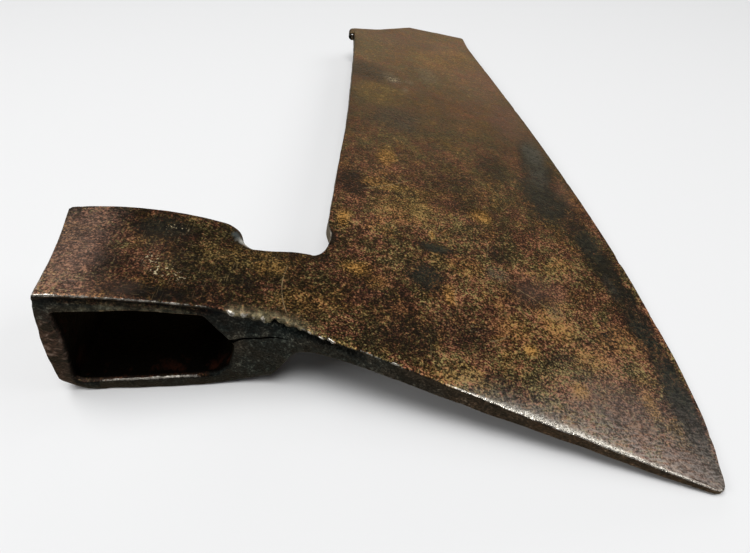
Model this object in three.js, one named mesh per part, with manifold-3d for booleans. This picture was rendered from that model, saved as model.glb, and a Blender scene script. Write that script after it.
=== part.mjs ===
// Goosewing axe head, forged iron with a forge-welded eye, lying on its bevelled side.
// Working frame of the head: x runs from the poll across the eye to the cutting edge, y runs
// along the haft eye and the blade from toe to heel, and z stands off the flat side.
// The closing group lays the head down as it rests: on the eye's lower cheek, the toe and the heel.
// Millimetres throughout.
import * as THREE from "three";
import { mergeVertices } from "three/addons/utils/BufferGeometryUtils.js";
import Module from "manifold-3d";

// ---- how the head lies ----
const LIE_ACROSS_DEG = 12.95; // the flat side falls away from the eye to the cutting edge
const LIE_ALONG_DEG = 1.68; // and slightly from toe to heel
const EYE_FACE_HEIGHT = 28.13; // flat side above the table at the head's own origin

// ---- flat side ----
const CROWN = 3.0; // rise of the flat side between toe and heel
const TOE_Y = -36.4;
const HEEL_Y = 299.7;
const CHEEK_DROOP = 0.00075; // the upper cheek bends down towards the poll, per mm squared
const CHEEK_DROOP_FROM = -28;

// ---- eye socket and neck, in plan ----
const POLL_X = -82.0; // at the near face
const POLL_SLANT = -0.07; // poll runs outwards along the eye
const POLL_HOLLOW = -0.0015; // and is a little hollow
const POLL_UNDERCUT = 3.2; // lower arris of the poll stands back from the upper one
const POLL_BULGE = 1.3;
const FACE_Y_AT = -39; // the near face of the eye is one plane, a little skew
const FACE_Y = 0.9;
const FACE_SKEW = 0.054;
const NEAR_EDGE_X = -3; // the blade's near edge runs straight to the toe
const NEAR_EDGE_Y = -0.6;
const NEAR_EDGE_SLOPE = -0.2993;
const NEAR_BLEND = 1.2;
const FAR_FACE_X = -55;
const FAR_FACE_Y = 42.7; // depth of the eye
const SHOULDER_FROM = -35.7;
const SHOULDER_TO = -24.3;
const NECK_FAR_Y = 31.1;
const JOIN_X = -5.5; // where the neck meets the blade
const JOIN_Y = 33.3;
const FILLET_X = 5.8; // corner between neck and spine
const FILLET_Y = 9.3;

// ---- lower cheek of the eye, heights above the table ----
const SEAT_FROM = -64; // the flat that the eye rests on
const SEAT_TO = -40;
const POLL_LIFT = 7.5;
const POLL_LIFT_POWER = 2.6;
const NECK_RISE = 0.0065;
const STEP_FROM = -13.5; // the weld step up to the blade's underside
const STEP_POWER = 1.35;

// ---- haft eye, corners of the bore as x, z and corner radius ----
const EYE = [
  [-78.6, -8.5, 1.5],
  [-56.0, -3.9, 20],
  [-35.0, -2.7, 3],
  [-25.0, -14.6, 5],
  [-26.0, -25.5, 4],
  [-30.0, -29.9, 4],
  [-75.3, -41.2, 3.5],
  [-76.1, -21.0, 20],
];

// ---- blade ----
const SPINE = [
  [0.3, 43],
  [-0.5, 54],
  [0.1, 68],
  [1.6, 104],
  [3.4, 140],
  [4.2, 190],
  [4.4, 240],
  [3.4, 267.3],
];
const FAR_END = [
  [3.4, 267.3],
  [18, 275.6],
  [31, 287],
  [42.5, 298.2],
]; // the hollow facet, then a straight one to the heel
const HEEL = [81.8, 302.2];
const EDGE = [
  [119.4, -37.6],
  [121.6, -37.2],
  [123.2, -34.9],
  [123.9, -29.5],
  [125.2, -20],
  [126.3, -5],
  [125.7, 13],
  [122.6, 46],
  [115.9, 95.6],
  [105.4, 158.4],
  [91.9, 231.7],
  [83.2, 281],
  HEEL,
]; // cutting edge from the toe round to the heel
const EDGE_LAND = 0.9; // blunt land left on the edge
const TOE_LAND = 0.95; // more of it at the toe
const TOE_LAND_RUN = 9;
const BEVEL = 16; // width of the bevel on the underside
const BEVEL_RISE = 0.13;
const GRIND_RISE = 0.062; // the long taper behind the bevel
const PLATE = 7.8; // plate thickness beside the neck
const PLATE_THIN_ACROSS = 0.028; // lost per mm towards the edge
const PLATE_THIN_ALONG = 0.0125; // and towards the heel
const ROOT = 5.0; // extra metal where the neck is welded on
const ROOT_RUN = 6.0;

// ---- scroll rolled down at the far corner of the spine ----
const CURL_R = 2.6;
const CURL_WALL = 1.0;
const CURL_X = 3.1;
const CURL_FROM = 258.2;
const CURL_TO = 266.9;
const CURL_TURN = 5.1; // radians

// ---- facets ----
const NECK_ROWS = 7;
const FILLET_ROWS = 4;
const SPINE_ROWS = 25;
const TOE_STEPS = [0, 1.6, 3.4, 5.6, 8.4, 12, 17];
const ACROSS = [
  0, 0.01, 0.026, 0.05, 0.085, 0.14, 0.21, 0.29, 0.37, 0.45, 0.53, 0.61, 0.69,
  0.76, 0.82, 0.87, 0.92, 0.96, 1,
];
const WALL_LEVELS = 3;

const lerp = (a, b, t) => a + (b - a) * t;
const clamp = (v, lo, hi) => Math.min(hi, Math.max(lo, v));
const smooth = (lo, hi, v) => {
  const t = clamp((v - lo) / (hi - lo), 0, 1);
  return t * t * (3 - 2 * t);
};

// Length-parametrised smooth curve through a few plan points.
function through(points) {
  const curve = new THREE.CatmullRomCurve3(
    points.map(([x, y]) => new THREE.Vector3(x, y, 0)),
    false,
    "centripetal",
  );
  curve.arcLengthDivisions = 600;
  const length = curve.getLength();
  return {
    length,
    at: (s) => {
      const p = curve.getPointAt(clamp(s / length, 0, 1));
      return [p.x, p.y];
    },
  };
}

const pose = new THREE.Matrix4().makeRotationFromEuler(
  new THREE.Euler(
    -THREE.MathUtils.degToRad(LIE_ALONG_DEG),
    THREE.MathUtils.degToRad(LIE_ACROSS_DEG),
    0,
    "XYZ",
  ),
);
const upX = pose.elements[2],
  upY = pose.elements[6],
  upZ = pose.elements[10];
// z of the point (x, y) that stands at a height above the table
const zAtHeight = (x, y, h) => (h - EYE_FACE_HEIGHT - upX * x - upY * y) / upZ;

// ---- the flat side ----
function flatSide(x, y) {
  const t = clamp((y - TOE_Y) / (HEEL_Y - TOE_Y), -0.05, 1.05);
  const droop = Math.max(0, CHEEK_DROOP_FROM - x);
  return CROWN * 4 * t * (1 - t) - CHEEK_DROOP * droop * droop;
}

// ---- plan outline of socket and neck ----
const pollX = (y) => POLL_X + POLL_SLANT * y + POLL_HOLLOW * y * y;
function nearY(x) {
  const face = FACE_Y + FACE_SKEW * (x - FACE_Y_AT);
  if (x < -26) return face;
  const edge = NEAR_EDGE_Y + NEAR_EDGE_SLOPE * (x - NEAR_EDGE_X);
  const soft =
    -NEAR_BLEND *
    Math.log(Math.exp(-face / NEAR_BLEND) + Math.exp(-edge / NEAR_BLEND));
  return lerp(face, soft, smooth(-26, -18, x));
}
function farY(x) {
  const d = x - FAR_FACE_X;
  const socket = FAR_FACE_Y - (d < 0 ? 0.0045 : 0.0022) * d * d;
  const neck = lerp(NECK_FAR_Y, JOIN_Y, smooth(-24, JOIN_X - 2, x));
  return lerp(socket, neck, smooth(SHOULDER_FROM, SHOULDER_TO, x));
}

// ---- thickness of the blade: d is the distance to the cutting edge ----
function bladeThickness(x, y, d) {
  const ground =
    EDGE_LAND +
    TOE_LAND * Math.exp(-Math.max(0, y - TOE_Y) / TOE_LAND_RUN) +
    BEVEL_RISE * Math.min(d, BEVEL) +
    GRIND_RISE * Math.max(0, d - BEVEL);
  const plate =
    PLATE -
    PLATE_THIN_ACROSS * Math.max(0, x - 5) -
    PLATE_THIN_ALONG * Math.max(0, y - 20);
  const root =
    ROOT * Math.exp(-(x - JOIN_X) / ROOT_RUN) * (1 - smooth(28, 42, y));
  return Math.min(ground, plate) + root;
}

// ---- underside of the socket and neck ----
function lowerCheek(x, y) {
  const heightAt = (v) => {
    if (v < SEAT_FROM) {
      const t = (SEAT_FROM - v) / (SEAT_FROM - POLL_X - POLL_UNDERCUT);
      return POLL_LIFT * Math.pow(t, POLL_LIFT_POWER);
    }
    const d = Math.max(0, v - SEAT_TO);
    return NECK_RISE * d * d;
  };
  if (x <= STEP_FROM) return zAtHeight(x, y, heightAt(x));
  const low = zAtHeight(x, y, heightAt(STEP_FROM));
  const high = flatSide(x, y) - bladeThickness(JOIN_X, Math.min(y, 28), 200);
  return lerp(
    low,
    high,
    Math.pow((x - STEP_FROM) / (JOIN_X - STEP_FROM), STEP_POWER),
  );
}

// ---- grid of the socket and neck ----
const stations = [0, 0.7, 1.6, 3, 5.5, 9.5];
for (let x = -66; x < -40; x += 6.5) stations.push(x - POLL_X);
for (const x of [
  -40, -37.5, -35.7, -34, -32.2, -30.4, -28.6, -26.8, -25.2, -23, -20, -17,
  -15, -13.5, -12.2, -11, -9.8, -8.6, -7.5, -6.4,
])
  stations.push(x - POLL_X);
const socketSpan = JOIN_X - POLL_X;
stations.push(socketSpan);

function socketPoint(i, j, low) {
  const s = stations[i] / socketSpan,
    v = j / NECK_ROWS;
  // the poll slants with y, so the point is settled in a few rounds
  let y = lerp(nearY(JOIN_X), farY(JOIN_X), v),
    x = JOIN_X;
  for (let n = 0; n < 8; n++) {
    const left = pollX(y) + (low ? POLL_UNDERCUT : 0);
    x = lerp(left, JOIN_X, s);
    y = lerp(nearY(x), farY(x), v);
  }
  return [x, y, low ? lowerCheek(x, y) : flatSide(x, y)];
}

// ---- grid of the blade, a patch stretched over its four edges ----
const spine = through(SPINE);
const farEnd = through(FAR_END);
const edge = through(EDGE);
const rows = NECK_ROWS + FILLET_ROWS + SPINE_ROWS;
function leftSide(j) {
  if (j <= NECK_ROWS)
    return [JOIN_X, lerp(nearY(JOIN_X), farY(JOIN_X), j / NECK_ROWS)];
  if (j <= NECK_ROWS + FILLET_ROWS) {
    const a = ((j - NECK_ROWS) / FILLET_ROWS) * (Math.PI / 2);
    const top = farY(JOIN_X) + FILLET_Y;
    return [JOIN_X + FILLET_X * Math.sin(a), top - FILLET_Y * Math.cos(a)];
  }
  return spine.at(
    (spine.length * (j - NECK_ROWS - FILLET_ROWS)) / SPINE_ROWS,
  );
}
function rightSide(j) {
  if (j < TOE_STEPS.length) return edge.at(TOE_STEPS[j]);
  const last = TOE_STEPS[TOE_STEPS.length - 1];
  return edge.at(
    lerp(
      last,
      edge.length,
      (j - TOE_STEPS.length + 1) / (rows - TOE_STEPS.length + 1),
    ),
  );
}
function nearSide(u) {
  const x = lerp(JOIN_X, EDGE[0][0], u);
  const [toeX, toeY] = EDGE[0];
  return [x, nearY(x) + (toeY - nearY(toeX)) * smooth(0.75, 1, u)];
}
function farSide(u) {
  const corner = ACROSS[9]; // the two facets meet here
  if (u <= corner) return farEnd.at((farEnd.length * u) / corner);
  const t = (u - corner) / (1 - corner);
  const from = FAR_END[FAR_END.length - 1];
  return [lerp(from[0], HEEL[0], t), lerp(from[1], HEEL[1], t)];
}
function bladePoint(k, j, low) {
  const u = ACROSS[k],
    v = j / rows;
  const l = leftSide(j),
    r = rightSide(j),
    b = nearSide(u),
    t = farSide(u);
  const c00 = nearSide(0),
    c10 = nearSide(1),
    c01 = farSide(0),
    c11 = farSide(1);
  const p = [0, 1].map(
    (n) =>
      (1 - v) * b[n] +
      v * t[n] +
      (1 - u) * l[n] +
      u * r[n] -
      ((1 - u) * (1 - v) * c00[n] +
        u * (1 - v) * c10[n] +
        (1 - u) * v * c01[n] +
        u * v * c11[n]),
  );
  const flat = flatSide(p[0], p[1]);
  if (!low) return [p[0], p[1], flat];
  const d = Math.hypot(r[0] - p[0], r[1] - p[1]);
  return [p[0], p[1], flat - bladeThickness(p[0], p[1], d)];
}

// ---- faces ----
const soup = [];
const tri = (a, b, c) => soup.push(...a, ...b, ...c);
function skin(point, columns, lines) {
  for (let i = 0; i < columns; i++)
    for (let j = 0; j < lines; j++) {
      const a = point(i, j, false),
        b = point(i + 1, j, false),
        c = point(i + 1, j + 1, false),
        d = point(i, j + 1, false);
      tri(a, b, c);
      tri(a, c, d);
      const e = point(i, j, true),
        f = point(i + 1, j, true),
        g = point(i + 1, j + 1, true),
        h = point(i, j + 1, true);
      tri(e, g, f);
      tri(e, h, g);
    }
}
const lastStation = stations.length - 1,
  lastAcross = ACROSS.length - 1;
// the join column is the blade's own, so both grids meet point for point
const socketGrid = (i, j, low) =>
  i === lastStation ? bladePoint(0, j, low) : socketPoint(i, j, low);
skin(socketGrid, lastStation, NECK_ROWS);
skin(bladePoint, lastAcross, rows);

const rim = [];
for (let i = 0; i < lastStation; i++) rim.push([socketGrid, i, 0]);
for (let k = 0; k < lastAcross; k++) rim.push([bladePoint, k, 0]);
for (let j = 0; j < rows; j++) rim.push([bladePoint, lastAcross, j]);
for (let k = lastAcross; k > 0; k--) rim.push([bladePoint, k, rows]);
for (let j = rows; j > NECK_ROWS; j--) rim.push([bladePoint, 0, j]);
for (let i = lastStation; i > 0; i--) rim.push([socketGrid, i, NECK_ROWS]);
for (let j = NECK_ROWS; j > 0; j--) rim.push([socketGrid, 0, j]);
function wallPoint([grid, a, b], level) {
  const top = grid(a, b, false),
    low = grid(a, b, true),
    t = level / WALL_LEVELS;
  if (level === 0) return top;
  if (level === WALL_LEVELS) return low;
  const x = lerp(top[0], low[0], t),
    y = lerp(top[1], low[1], t);
  const poll = grid === socketGrid && a === 0;
  const bulged = x - (poll ? POLL_BULGE * 4 * t * (1 - t) : 0);
  // the near face stays in its plane
  const onFace = poll && b === 0 ? nearY(bulged) : y;
  return [bulged, onFace, lerp(top[2], low[2], t)];
}
rim.forEach((from, n) => {
  const to = rim[(n + 1) % rim.length];
  for (let level = 0; level < WALL_LEVELS; level++) {
    const a = wallPoint(from, level),
      b = wallPoint(to, level),
      c = wallPoint(to, level + 1),
      d = wallPoint(from, level + 1);
    tri(a, d, c);
    tri(a, c, b);
  }
});

// ---- solids ----
const wasm = await Module();
wasm.setup();

function solidOf(geometry) {
  const bare = geometry.clone();
  bare.deleteAttribute("normal");
  bare.deleteAttribute("uv");
  const merged = mergeVertices(bare, 1e-4);
  return new wasm.Manifold(
    new wasm.Mesh({
      numProp: 3,
      vertProperties: new Float32Array(merged.attributes.position.array),
      triVerts: new Uint32Array(merged.index.array),
    }),
  );
}

const forged = new THREE.BufferGeometry().setAttribute(
  "position",
  new THREE.Float32BufferAttribute(soup, 3),
);

// A closed outline in x and z, with rounded corners, driven along y.
function alongY(outline, from, to) {
  const shape = new THREE.Shape(outline.map(([x, z]) => new THREE.Vector2(x, z)));
  const body = new THREE.ExtrudeGeometry(shape, {
    depth: to - from,
    bevelEnabled: false,
    steps: 1,
  });
  body.rotateX(Math.PI / 2);
  body.translate(0, to, 0);
  return body;
}
function rounded(corners, steps) {
  const out = [];
  corners.forEach(([x, z, r], i) => {
    const before = corners[(i + corners.length - 1) % corners.length],
      after = corners[(i + 1) % corners.length];
    const here = new THREE.Vector2(x, z);
    const a = new THREE.Vector2(before[0], before[1]).sub(here),
      b = new THREE.Vector2(after[0], after[1]).sub(here);
    const half = Math.acos(clamp(a.dot(b) / (a.length() * b.length()), -1, 1)) / 2;
    const reach = Math.min(r / Math.tan(half), 0.45 * Math.min(a.length(), b.length()));
    const p = here.clone().addScaledVector(a.normalize(), reach),
      q = here.clone().addScaledVector(b.normalize(), reach);
    const turn = new THREE.QuadraticBezierCurve(p, here, q);
    for (let n = 0; n <= steps; n++) {
      const m = turn.getPoint(n / steps);
      out.push([m.x, m.y]);
    }
  });
  return out;
}

const bore = alongY(rounded(EYE, 5), -20, 60);

// scroll: a strip that leaves the flat side and rolls down on itself
const curlTop = flatSide(CURL_X, (CURL_FROM + CURL_TO) / 2) - 0.05;
const outer = [],
  inner = [];
const CURL_STEPS = 18;
for (let n = 0; n <= CURL_STEPS; n++) {
  const t = n / CURL_STEPS,
    a = Math.PI / 2 + CURL_TURN * t,
    r = CURL_R * (1 - 0.16 * t);
  outer.push([CURL_X + r * Math.cos(a), curlTop - CURL_R + r * Math.sin(a)]);
  const w = r - CURL_WALL * (1 - 0.35 * t);
  inner.push([CURL_X + w * Math.cos(a), curlTop - CURL_R + w * Math.sin(a)]);
}
const tongue = [
  [CURL_X + 2.2, curlTop],
  ...outer,
  ...inner.reverse(),
  [CURL_X + 2.2, curlTop - CURL_WALL],
];
const scroll = alongY(tongue, CURL_FROM, CURL_TO);

const head = solidOf(forged).subtract(solidOf(bore)).add(solidOf(scroll));

const cut = head.getMesh();
const headGeometry = new THREE.BufferGeometry();
headGeometry.setAttribute(
  "position",
  new THREE.BufferAttribute(new Float32Array(cut.vertProperties), 3),
);
headGeometry.setIndex(new THREE.BufferAttribute(new Uint32Array(cut.triVerts), 1));
headGeometry.computeVertexNormals();

// ---- the head as it lies, its box standing on the origin ----
const lying = headGeometry.clone().applyMatrix4(pose);
lying.computeBoundingBox();
const box = lying.boundingBox;

const iron = new THREE.MeshStandardMaterial({
  name: "forged_iron",
  color: 0x4b3424,
  roughness: 0.55,
  metalness: 0.6,
});
const axeHead = new THREE.Mesh(headGeometry, iron);
axeHead.name = "axe_head";

const laid = new THREE.Group();
laid.rotation.set(
  -THREE.MathUtils.degToRad(LIE_ALONG_DEG),
  THREE.MathUtils.degToRad(LIE_ACROSS_DEG),
  0,
  "XYZ",
);
laid.position.set(
  -(box.min.x + box.max.x) / 2,
  -(box.min.y + box.max.y) / 2,
  -box.min.z,
);
laid.add(axeHead);

const group = new THREE.Group();
group.add(laid);

export default group;
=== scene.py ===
import math

import bpy
import numpy as np
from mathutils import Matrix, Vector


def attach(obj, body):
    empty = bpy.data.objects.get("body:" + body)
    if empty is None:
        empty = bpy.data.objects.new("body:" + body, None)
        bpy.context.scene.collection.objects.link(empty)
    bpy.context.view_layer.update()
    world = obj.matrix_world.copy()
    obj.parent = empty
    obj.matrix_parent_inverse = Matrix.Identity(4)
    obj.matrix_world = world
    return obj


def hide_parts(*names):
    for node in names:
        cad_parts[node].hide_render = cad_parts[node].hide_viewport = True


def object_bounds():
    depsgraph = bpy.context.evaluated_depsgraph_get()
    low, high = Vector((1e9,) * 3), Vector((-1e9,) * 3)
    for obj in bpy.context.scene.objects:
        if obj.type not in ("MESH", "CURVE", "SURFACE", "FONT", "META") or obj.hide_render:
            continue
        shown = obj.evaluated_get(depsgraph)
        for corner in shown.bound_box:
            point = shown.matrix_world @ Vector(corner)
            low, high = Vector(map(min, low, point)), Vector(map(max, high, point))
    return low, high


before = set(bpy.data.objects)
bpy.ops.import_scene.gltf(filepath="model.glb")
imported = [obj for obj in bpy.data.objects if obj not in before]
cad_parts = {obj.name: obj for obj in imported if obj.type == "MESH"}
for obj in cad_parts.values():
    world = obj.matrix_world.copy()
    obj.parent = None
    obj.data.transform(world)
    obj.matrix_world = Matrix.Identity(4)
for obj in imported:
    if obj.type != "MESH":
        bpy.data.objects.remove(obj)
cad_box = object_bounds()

# ---------------------------------------------------------------------------
# The head's own frame, in millimetres: x from the poll to the cutting edge, y along the
# haft eye and the blade, z off the flat side. It lies turned by LIE_* and stands at LAID_AT.
# ---------------------------------------------------------------------------
LIE_ACROSS = math.radians(12.95)
LIE_ALONG = math.radians(1.68)
EYE_FACE_HEIGHT = 28.13
LAID_AT = np.array([-17.4196, -131.5539, 28.1741])

CROWN, TOE_Y, HEEL_Y = 3.0, -36.4, 299.7
POLL_X, POLL_SLANT, POLL_HOLLOW = -82.0, -0.07, -0.0015
POLL_UNDERCUT, POLL_BULGE = 2.5, 1.3
JOIN_X, JOIN_Y = -5.5, 33.3
FILLET_X, FILLET_Y = 5.8, 9.3
STEP_FROM, STEP_POWER = -12.4, 1.30
EYE = [
    (-78.6, -8.5, 1.5), (-56.0, -3.9, 20), (-35.0, -2.7, 3), (-25.0, -14.6, 5),
    (-26.0, -25.5, 4), (-30.0, -29.9, 4), (-75.3, -41.2, 3.5), (-76.1, -21.0, 20),
]
SPINE = [(0.3, 43), (-0.5, 54), (0.1, 68), (1.6, 104), (3.4, 140), (4.2, 190), (4.4, 240), (3.4, 267.3)]
FAR_END = [(3.4, 267.3), (18, 275.6), (31, 287), (42.5, 298.2)]
HEEL = (81.8, 302.2)
EDGE = [
    (119.4, -37.6), (121.6, -37.2), (123.2, -34.9), (123.9, -29.5), (125.2, -20), (126.3, -5),
    (125.7, 13), (122.6, 46), (115.9, 95.6), (105.4, 158.4), (91.9, 231.7), (83.2, 281), HEEL,
]

# facets
N_JOINT, N_FILLET, N_SPINE = 26, 17, 188
TOP_RING, LOW_RING = 5, 4
NEAR_ROWS = [0.32, 0.7, 1.1, 1.6, 2.2, 3.0, 4.1]
FAR_ROWS = 9


def rot(ax, ay):
    cx, sx, cy, sy = math.cos(ax), math.sin(ax), math.cos(ay), math.sin(ay)
    rx = np.array([[1, 0, 0], [0, cx, -sx], [0, sx, cx]])
    ry = np.array([[cy, 0, sy], [0, 1, 0], [-sy, 0, cy]])
    return rx @ ry


LIE = rot(-LIE_ALONG, LIE_ACROSS)


def to_part(p):
    return (np.asarray(p) @ LIE.T + LAID_AT) / 1000.0


def to_own(p):
    return (np.asarray(p) * 1000.0 - LAID_AT) @ LIE


def smooth(lo, hi, v):
    t = np.clip((np.asarray(v, float) - lo) / (hi - lo), 0, 1)
    return t * t * (3 - 2 * t)


def bump(centre, width, v):
    return np.exp(-(((np.asarray(v, float) - centre) / width) ** 2))


# ---- seeded value noise ----
def _lattice(ix, iy, iz, seed):
    h = (ix.astype(np.int64) * 374761393 + iy.astype(np.int64) * 668265263
         + iz.astype(np.int64) * 1442695041 + seed * 1274126177) & 0xFFFFFFFF
    h = ((h ^ (h >> 13)) * 1274126177) & 0xFFFFFFFF
    h = ((h ^ (h >> 16)) * 2246822519) & 0xFFFFFFFF
    return ((h ^ (h >> 15)) & 0xFFFFFF) / float(0xFFFFFF)


def noise(p, size, seed):
    """Smooth noise from -1 to 1 over points p (n, 3), with lumps of about size millimetres."""
    q = np.asarray(p, float) / size
    i = np.floor(q)
    f = q - i
    w = f * f * f * (f * (f * 6 - 15) + 10)
    i = i.astype(np.int64)
    out = 0.0
    for dx in (0, 1):
        for dy in (0, 1):
            for dz in (0, 1):
                k = (w[:, 0] if dx else 1 - w[:, 0]) * (w[:, 1] if dy else 1 - w[:, 1]) * (w[:, 2] if dz else 1 - w[:, 2])
                out = out + k * _lattice(i[:, 0] + dx, i[:, 1] + dy, i[:, 2] + dz, seed)
    return out * 2 - 1


def fractal(p, size, seed, octaves=3, gain=0.5):
    out, a, total = 0.0, 1.0, 0.0
    for n in range(octaves):
        out = out + a * noise(p, size / (2.03 ** n), seed + 17 * n)
        total += a
        a *= gain
    return out / total


def line_noise(s, size, seed, octaves=3, gain=0.55):
    s = np.asarray(s, float)
    return fractal(np.column_stack([s, np.full_like(s, 3.7), np.full_like(s, 9.1)]), size, seed, octaves, gain)


# ---- smooth curve through a few plan points, by length ----
def through(points):
    p = np.array(points, float)
    p = np.vstack([2 * p[0] - p[1], p, 2 * p[-1] - p[-2]])
    fine = []
    for k in range(1, len(p) - 2):
        a, b, c, d = p[k - 1], p[k], p[k + 1], p[k + 2]
        d0, d1, d2 = (max(1e-4, float(np.sum((v - u) ** 2)) ** 0.25) for u, v in ((a, b), (b, c), (c, d)))
        t1 = ((b - a) / d0 - (c - a) / (d0 + d1) + (c - b) / d1) * d1
        t2 = ((c - b) / d1 - (d - b) / (d1 + d2) + (d - c) / d2) * d1
        t = np.linspace(0, 1, 120, endpoint=k == len(p) - 3)[:, None]
        fine.append(b + t1 * t + (-3 * b + 3 * c - 2 * t1 - t2) * t ** 2 + (2 * b - 2 * c + t1 + t2) * t ** 3)
    fine = np.vstack(fine)
    s = np.concatenate([[0], np.cumsum(np.linalg.norm(np.diff(fine, axis=0), axis=1))])

    def at(v):
        v = np.asarray(v, float)
        return np.column_stack([np.interp(v, s, fine[:, 0]), np.interp(v, s, fine[:, 1])])

    return s[-1], at


def flat_side(x, y):
    t = np.clip((y - TOE_Y) / (HEEL_Y - TOE_Y), -0.05, 1.05)
    droop = np.maximum(0, -28.0 - x)
    return CROWN * 4 * t * (1 - t) - 0.00075 * droop * droop


def poll_x(y):
    return POLL_X + POLL_SLANT * y + POLL_HOLLOW * y * y


def near_y(x):
    x = np.asarray(x, float)
    face = 0.9 + 0.054 * (x + 39)
    edge = -0.6 - 0.2993 * (x + 3)
    soft = -1.2 * np.logaddexp(-face / 1.2, -edge / 1.2)
    return face + (soft - face) * smooth(-26, -18, x)


def set_back(x):
    """How far the upper arris of the near face stands behind the face below it."""
    return np.interp(x, [-84, -78, -74, -63, -49, -36, -28, -20, -14, -8, 0], [0.3, 0.6, 0.85, 1.1, 1.35, 1.35, 1.15, 1.0, 0.8, 0.4, 0.0])


def far_y(x):
    x = np.asarray(x, float)
    d = x + 55
    socket = 42.7 - np.where(d < 0, 0.0045, 0.0022) * d * d
    neck = 31.1 + (JOIN_Y - 31.1) * smooth(-24, JOIN_X - 2, x)
    return socket + (neck - socket) * smooth(-35.7, -24.3, x)


def blade_thickness(x, y, d):
    ground = (0.9 + 0.95 * np.exp(-np.maximum(0, y - TOE_Y) / 9) + 0.13 * np.minimum(d, 16)
              + 0.062 * np.maximum(0, d - 16))
    plate = 7.8 - 0.028 * np.maximum(0, x - 5) - 0.0125 * np.maximum(0, y - 20)
    root = 5.0 * np.exp(-(x - JOIN_X) / 6.0) * (1 - smooth(28, 42, y))
    return np.minimum(ground, plate) + root


def z_at_height(x, y, h):
    return (h - EYE_FACE_HEIGHT - LIE[2, 0] * x - LIE[2, 1] * y) / LIE[2, 2]


def lower_cheek(x, y):
    def height(v):
        t = np.clip((-64 - v) / (-64 - POLL_X - 3.2), 0, 1.15)
        d = np.maximum(0, v + 40)
        return 6.0 * t ** 3.0 + 0.0065 * d * d

    low = z_at_height(x, y, height(np.minimum(x, STEP_FROM)))
    high = flat_side(x, y) - blade_thickness(JOIN_X, np.minimum(y, 28), 200)
    t = np.clip((x - STEP_FROM) / (JOIN_X - STEP_FROM), 0, 1) ** STEP_POWER
    return low + (high - low) * t


# ---------------------------------------------------------------------------
# plan outline as one loop, counter-clockwise from the poll's near corner
# ---------------------------------------------------------------------------
def stations(x0, x1, spacing):
    """Fractions from x0 to x1, as close together as spacing(x) asks."""
    x = np.linspace(x0, x1, 4000)
    n = np.concatenate([[0], np.cumsum((x[1] - x[0]) / spacing((x[1:] + x[:-1]) / 2))])
    count = int(round(n[-1]))
    return (np.interp(np.arange(count + 1) / count * n[-1], n, x) - x0) / (x1 - x0)


SOCKET_U = stations(POLL_X, JOIN_X, lambda x: 1.35 - 0.80 * smooth(-37, -30, x) - 0.4 * (1 - smooth(-82, -79, x)))
BLADE_U = stations(JOIN_X, EDGE[0][0], lambda x: 0.62 + 0.72 * smooth(12, 30, x) - 0.45 * smooth(110, 118, x))
NS, NU = len(SOCKET_U) - 1, len(BLADE_U) - 1


def toe_rows(n, length):
    """Row stations along the cutting edge, close together round the toe."""
    k = np.arange(n + 1) / n
    w = 0.12 + smooth(0.0, 0.10, k)
    s = np.concatenate([[0], np.cumsum((w[1:] + w[:-1]) / 2)])
    return length * s / s[-1]


ROWS = N_JOINT + N_FILLET + N_SPINE
spine_len, spine_at = through(SPINE)
far_len, far_at = through(FAR_END)
edge_len, edge_at = through(EDGE)


def outline():
    x = POLL_X + (JOIN_X - POLL_X) * SOCKET_U
    near_s = np.column_stack([x, near_y(x)])
    u = BLADE_U
    xb = JOIN_X + (EDGE[0][0] - JOIN_X) * u
    near_b = np.column_stack([xb, near_y(xb) + (EDGE[0][1] - near_y(EDGE[0][0])) * smooth(0.75, 1, u)])
    right = edge_at(toe_rows(ROWS, edge_len))
    corner = int(np.argmin(abs(u - 0.46)))
    far = np.zeros((NU + 1, 2))
    far[: corner + 1] = far_at(far_len * u[: corner + 1] / u[corner])
    t = (u[corner:] - u[corner]) / (1 - u[corner])
    far[corner:] = np.array(FAR_END[-1]) + t[:, None] * (np.array(HEEL) - np.array(FAR_END[-1]))
    a = np.arange(1, N_FILLET + 1) / N_FILLET * math.pi / 2
    fillet = np.column_stack([JOIN_X + FILLET_X * np.sin(a), far_y(JOIN_X) + FILLET_Y * (1 - np.cos(a))])
    sp = spine_at(spine_len * np.arange(1, N_SPINE + 1) / N_SPINE)
    left = np.vstack([fillet, sp])  # rows N_JOINT+1 .. ROWS
    far_x = poll_x(38.0)
    xs = far_x + (JOIN_X - far_x) * SOCKET_U
    far_s = np.column_stack([xs, far_y(xs)])
    v = np.arange(N_JOINT + 1) / N_JOINT
    y = near_s[0, 1] + (far_s[0, 1] - near_s[0, 1]) * v
    poll = np.column_stack([poll_x(y), y])
    poll[0], poll[-1] = near_s[0], far_s[0]
    return near_s, near_b, right, far, left, far_s, poll


near_s, near_b, right, far_, left, far_s, poll = outline()
loop = np.vstack([
    near_s[:-1], near_b[:-1], right[:-1], far_[::-1][:-1], left[::-1],
    far_s[::-1][:-1], poll[::-1][:-1],
])
counts = [NS, NU, ROWS, NU, len(left), NS, N_JOINT]
names = ["near_s", "near_b", "right", "far", "left", "far_s", "poll"]
starts = dict(zip(names, np.concatenate([[0], np.cumsum(counts)[:-1]])))
LN = len(loop)
assert LN == sum(counts), (LN, sum(counts))
side = np.concatenate([np.full(c, i) for i, c in enumerate(counts)])

ahead, behind = np.roll(loop, -1, 0), np.roll(loop, 1, 0)
seg_a = (ahead - loop) / np.linalg.norm(ahead - loop, axis=1)[:, None]
seg_b = (loop - behind) / np.linalg.norm(loop - behind, axis=1)[:, None]
tan = seg_a + seg_b
tan /= np.linalg.norm(tan, axis=1)[:, None]
normal = np.column_stack([tan[:, 1], -tan[:, 0]])
arc = np.concatenate([[0], np.cumsum(np.linalg.norm(ahead - loop, axis=1))])[:-1]

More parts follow.
